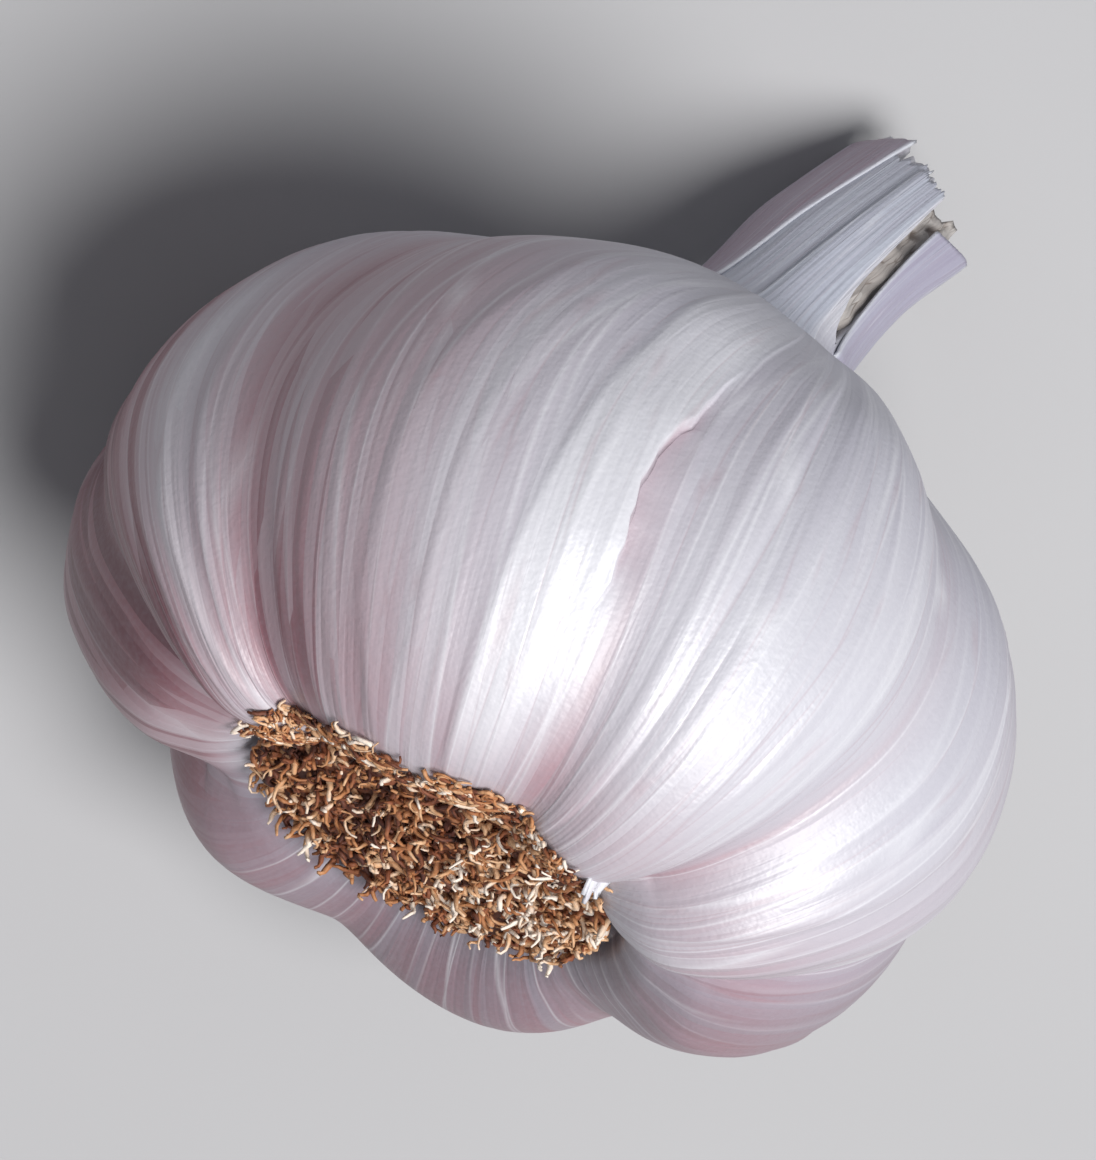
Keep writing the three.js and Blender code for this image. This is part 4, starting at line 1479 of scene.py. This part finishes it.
@dataclass
class Studio:
    """Plain pale floor, soft light and the camera."""

    placement: Placement
    below: float = 21.0
    roll: float = 29.5
    distance: float = 330.0
    pixels_per_mm: float = 16.15
    image_width: int = 1096
    image_height: int = 1160
    centre: tuple[float, float, float] = (0.0, 0.0, 19.0)
    centre_pixel: tuple[float, float] = (557.0, 622.0)
    lamp_distance: float = 0.7
    floor_tones: tuple[tuple[float, float, float], ...] = ((0.42, 0.42, 0.43), (0.45, 0.45, 0.46))
    sky: tuple[float, float, float] = (0.9, 0.93, 1.0)
    sky_strength: float = 0.19

    def view_axes(self) -> tuple[Vector, Vector, Vector]:
        """Returns the picture's right, its up, and the direction to the camera, on the lying bulb."""
        low = math.radians(self.below)
        turn = math.radians(self.roll)
        towards = Vector((math.cos(low), 0.0, -math.sin(low)))
        axis = Vector((math.sin(low), 0.0, math.cos(low)))
        side = Vector((0.0, 1.0, 0.0))
        right = math.sin(turn) * axis + math.cos(turn) * side
        up = math.cos(turn) * axis - math.sin(turn) * side
        return tuple(self.placement.direction(way) for way in (right, up, towards))

    def camera(self) -> bpy.types.Object:
        """Places the camera so that the bulb stands in the picture as in the photograph."""
        right, up, towards = self.view_axes()
        centre = self.placement.matrix() @ Vector(self.centre)
        off_x = (self.centre_pixel[0] - self.image_width / 2.0) / self.pixels_per_mm
        off_y = (self.centre_pixel[1] - self.image_height / 2.0) / self.pixels_per_mm
        aim = centre - right * off_x + up * off_y
        data = bpy.data.cameras.new("camera")
        data.sensor_fit = "HORIZONTAL"
        data.sensor_width = 36.0
        data.lens = data.sensor_width * self.pixels_per_mm * self.distance / self.image_width
        data.clip_start = 0.01
        data.clip_end = 20.0
        camera = bpy.data.objects.new("camera", data)
        turn = Matrix((right, up, towards)).transposed()
        camera.matrix_world = Matrix.Translation((aim + towards * self.distance) * MM) @ turn.to_4x4()
        bpy.context.scene.collection.objects.link(camera)
        bpy.context.scene.camera = camera
        return camera

    def lamp(self, name: str, way: tuple[float, float, float], size: float, power: float, colour: tuple) -> None:
        """Adds a soft light.

        Args:
            name: Name of the light.
            way: Direction to the light as picture right, picture up and towards the camera.
            size: Side of the light in metres.
            power: Its power in watts.
            colour: Its colour.
        """
        right, up, towards = self.view_axes()
        direction = (right * way[0] + up * way[1] + towards * way[2]).normalized()
        target = Vector((0.0, 0.0, 0.025))
        data = bpy.data.lights.new(name, "AREA")
        data.shape = "DISK"
        data.size = size
        data.energy = power
        data.color = colour
        light = bpy.data.objects.new(name, data)
        turn = direction.to_track_quat("Z", "Y").to_matrix().to_4x4()
        light.matrix_world = Matrix.Translation(target + direction * self.lamp_distance) @ turn
        bpy.context.scene.collection.objects.link(light)

    def floor(self) -> bpy.types.Object:
        """Makes the plain floor, with a faint unevenness in its tone."""
        bpy.ops.object.select_all(action="DESELECT")
        bpy.ops.mesh.primitive_plane_add(size=6.0)
        floor = bpy.context.object
        floor.name = "floor"
        material = bpy.data.materials.new("pale_floor")
        material.use_nodes = True
        net = NodeTree(material.node_tree)
        shader = material.node_tree.nodes["Principled BSDF"]
        grain = net.noise(net.add("ShaderNodeTexCoord").outputs["Object"], 9.0, 3.0)
        dark, pale = (rgba(tone) for tone in self.floor_tones)
        tone = net.mix(net.span(grain, 0.3, 0.7), dark, pale)
        net.tree.links.new(tone, shader.inputs["Base Color"])
        shader.inputs["Roughness"].default_value = 0.85
        floor.data.materials.append(material)
        return floor

    def build(self) -> None:
        """Sets up the camera, the lights and the floor."""
        self.camera()
        self.floor()
        self.lamp("key", (0.42, -0.42, 0.80), 0.46, 6.7, (1.0, 0.99, 0.98))
        self.lamp("fill", (-0.4, 0.5, 0.77), 0.6, 0.3, (0.93, 0.95, 1.0))
        world = bpy.data.worlds.new("studio")
        world.use_nodes = True
        background = world.node_tree.nodes["Background"]
        background.inputs["Color"].default_value = rgba(self.sky)
        background.inputs["Strength"].default_value = self.sky_strength
        bpy.context.scene.world = world
        bpy.context.scene.view_settings.view_transform = "Standard"


def main() -> None:
    """Builds the lying garlic bulb and its studio, in order."""
    logging.basicConfig(level=logging.INFO, format="%(message)s")
    placement = Placement()
    form, neck = BulbForm(), NeckForm()
    maker = Maker(placement)
    Studio(placement).build()
    pleats = PleatGroup()
    skin_finish = SkinFinish("papery_skin").build(pleats)
    sheath_finish = SkinFinish("papery_sheath", ivory=(0.49, 0.53, 0.61), lilac_and_shade=(0.31, 0.30, 0.40)).build(pleats)
    WrappedBulb(form, neck).build(maker, skin_finish)
    NeckSheaths(form, neck).build(maker, sheath_finish)
    Stalk(form, neck).build(maker, StalkFinish().build(pleats))
    RootMat(form).build(maker, RootFinish().build())
    SkinScale().build(maker, skin_finish)


if __name__ == "__main__":
    main()
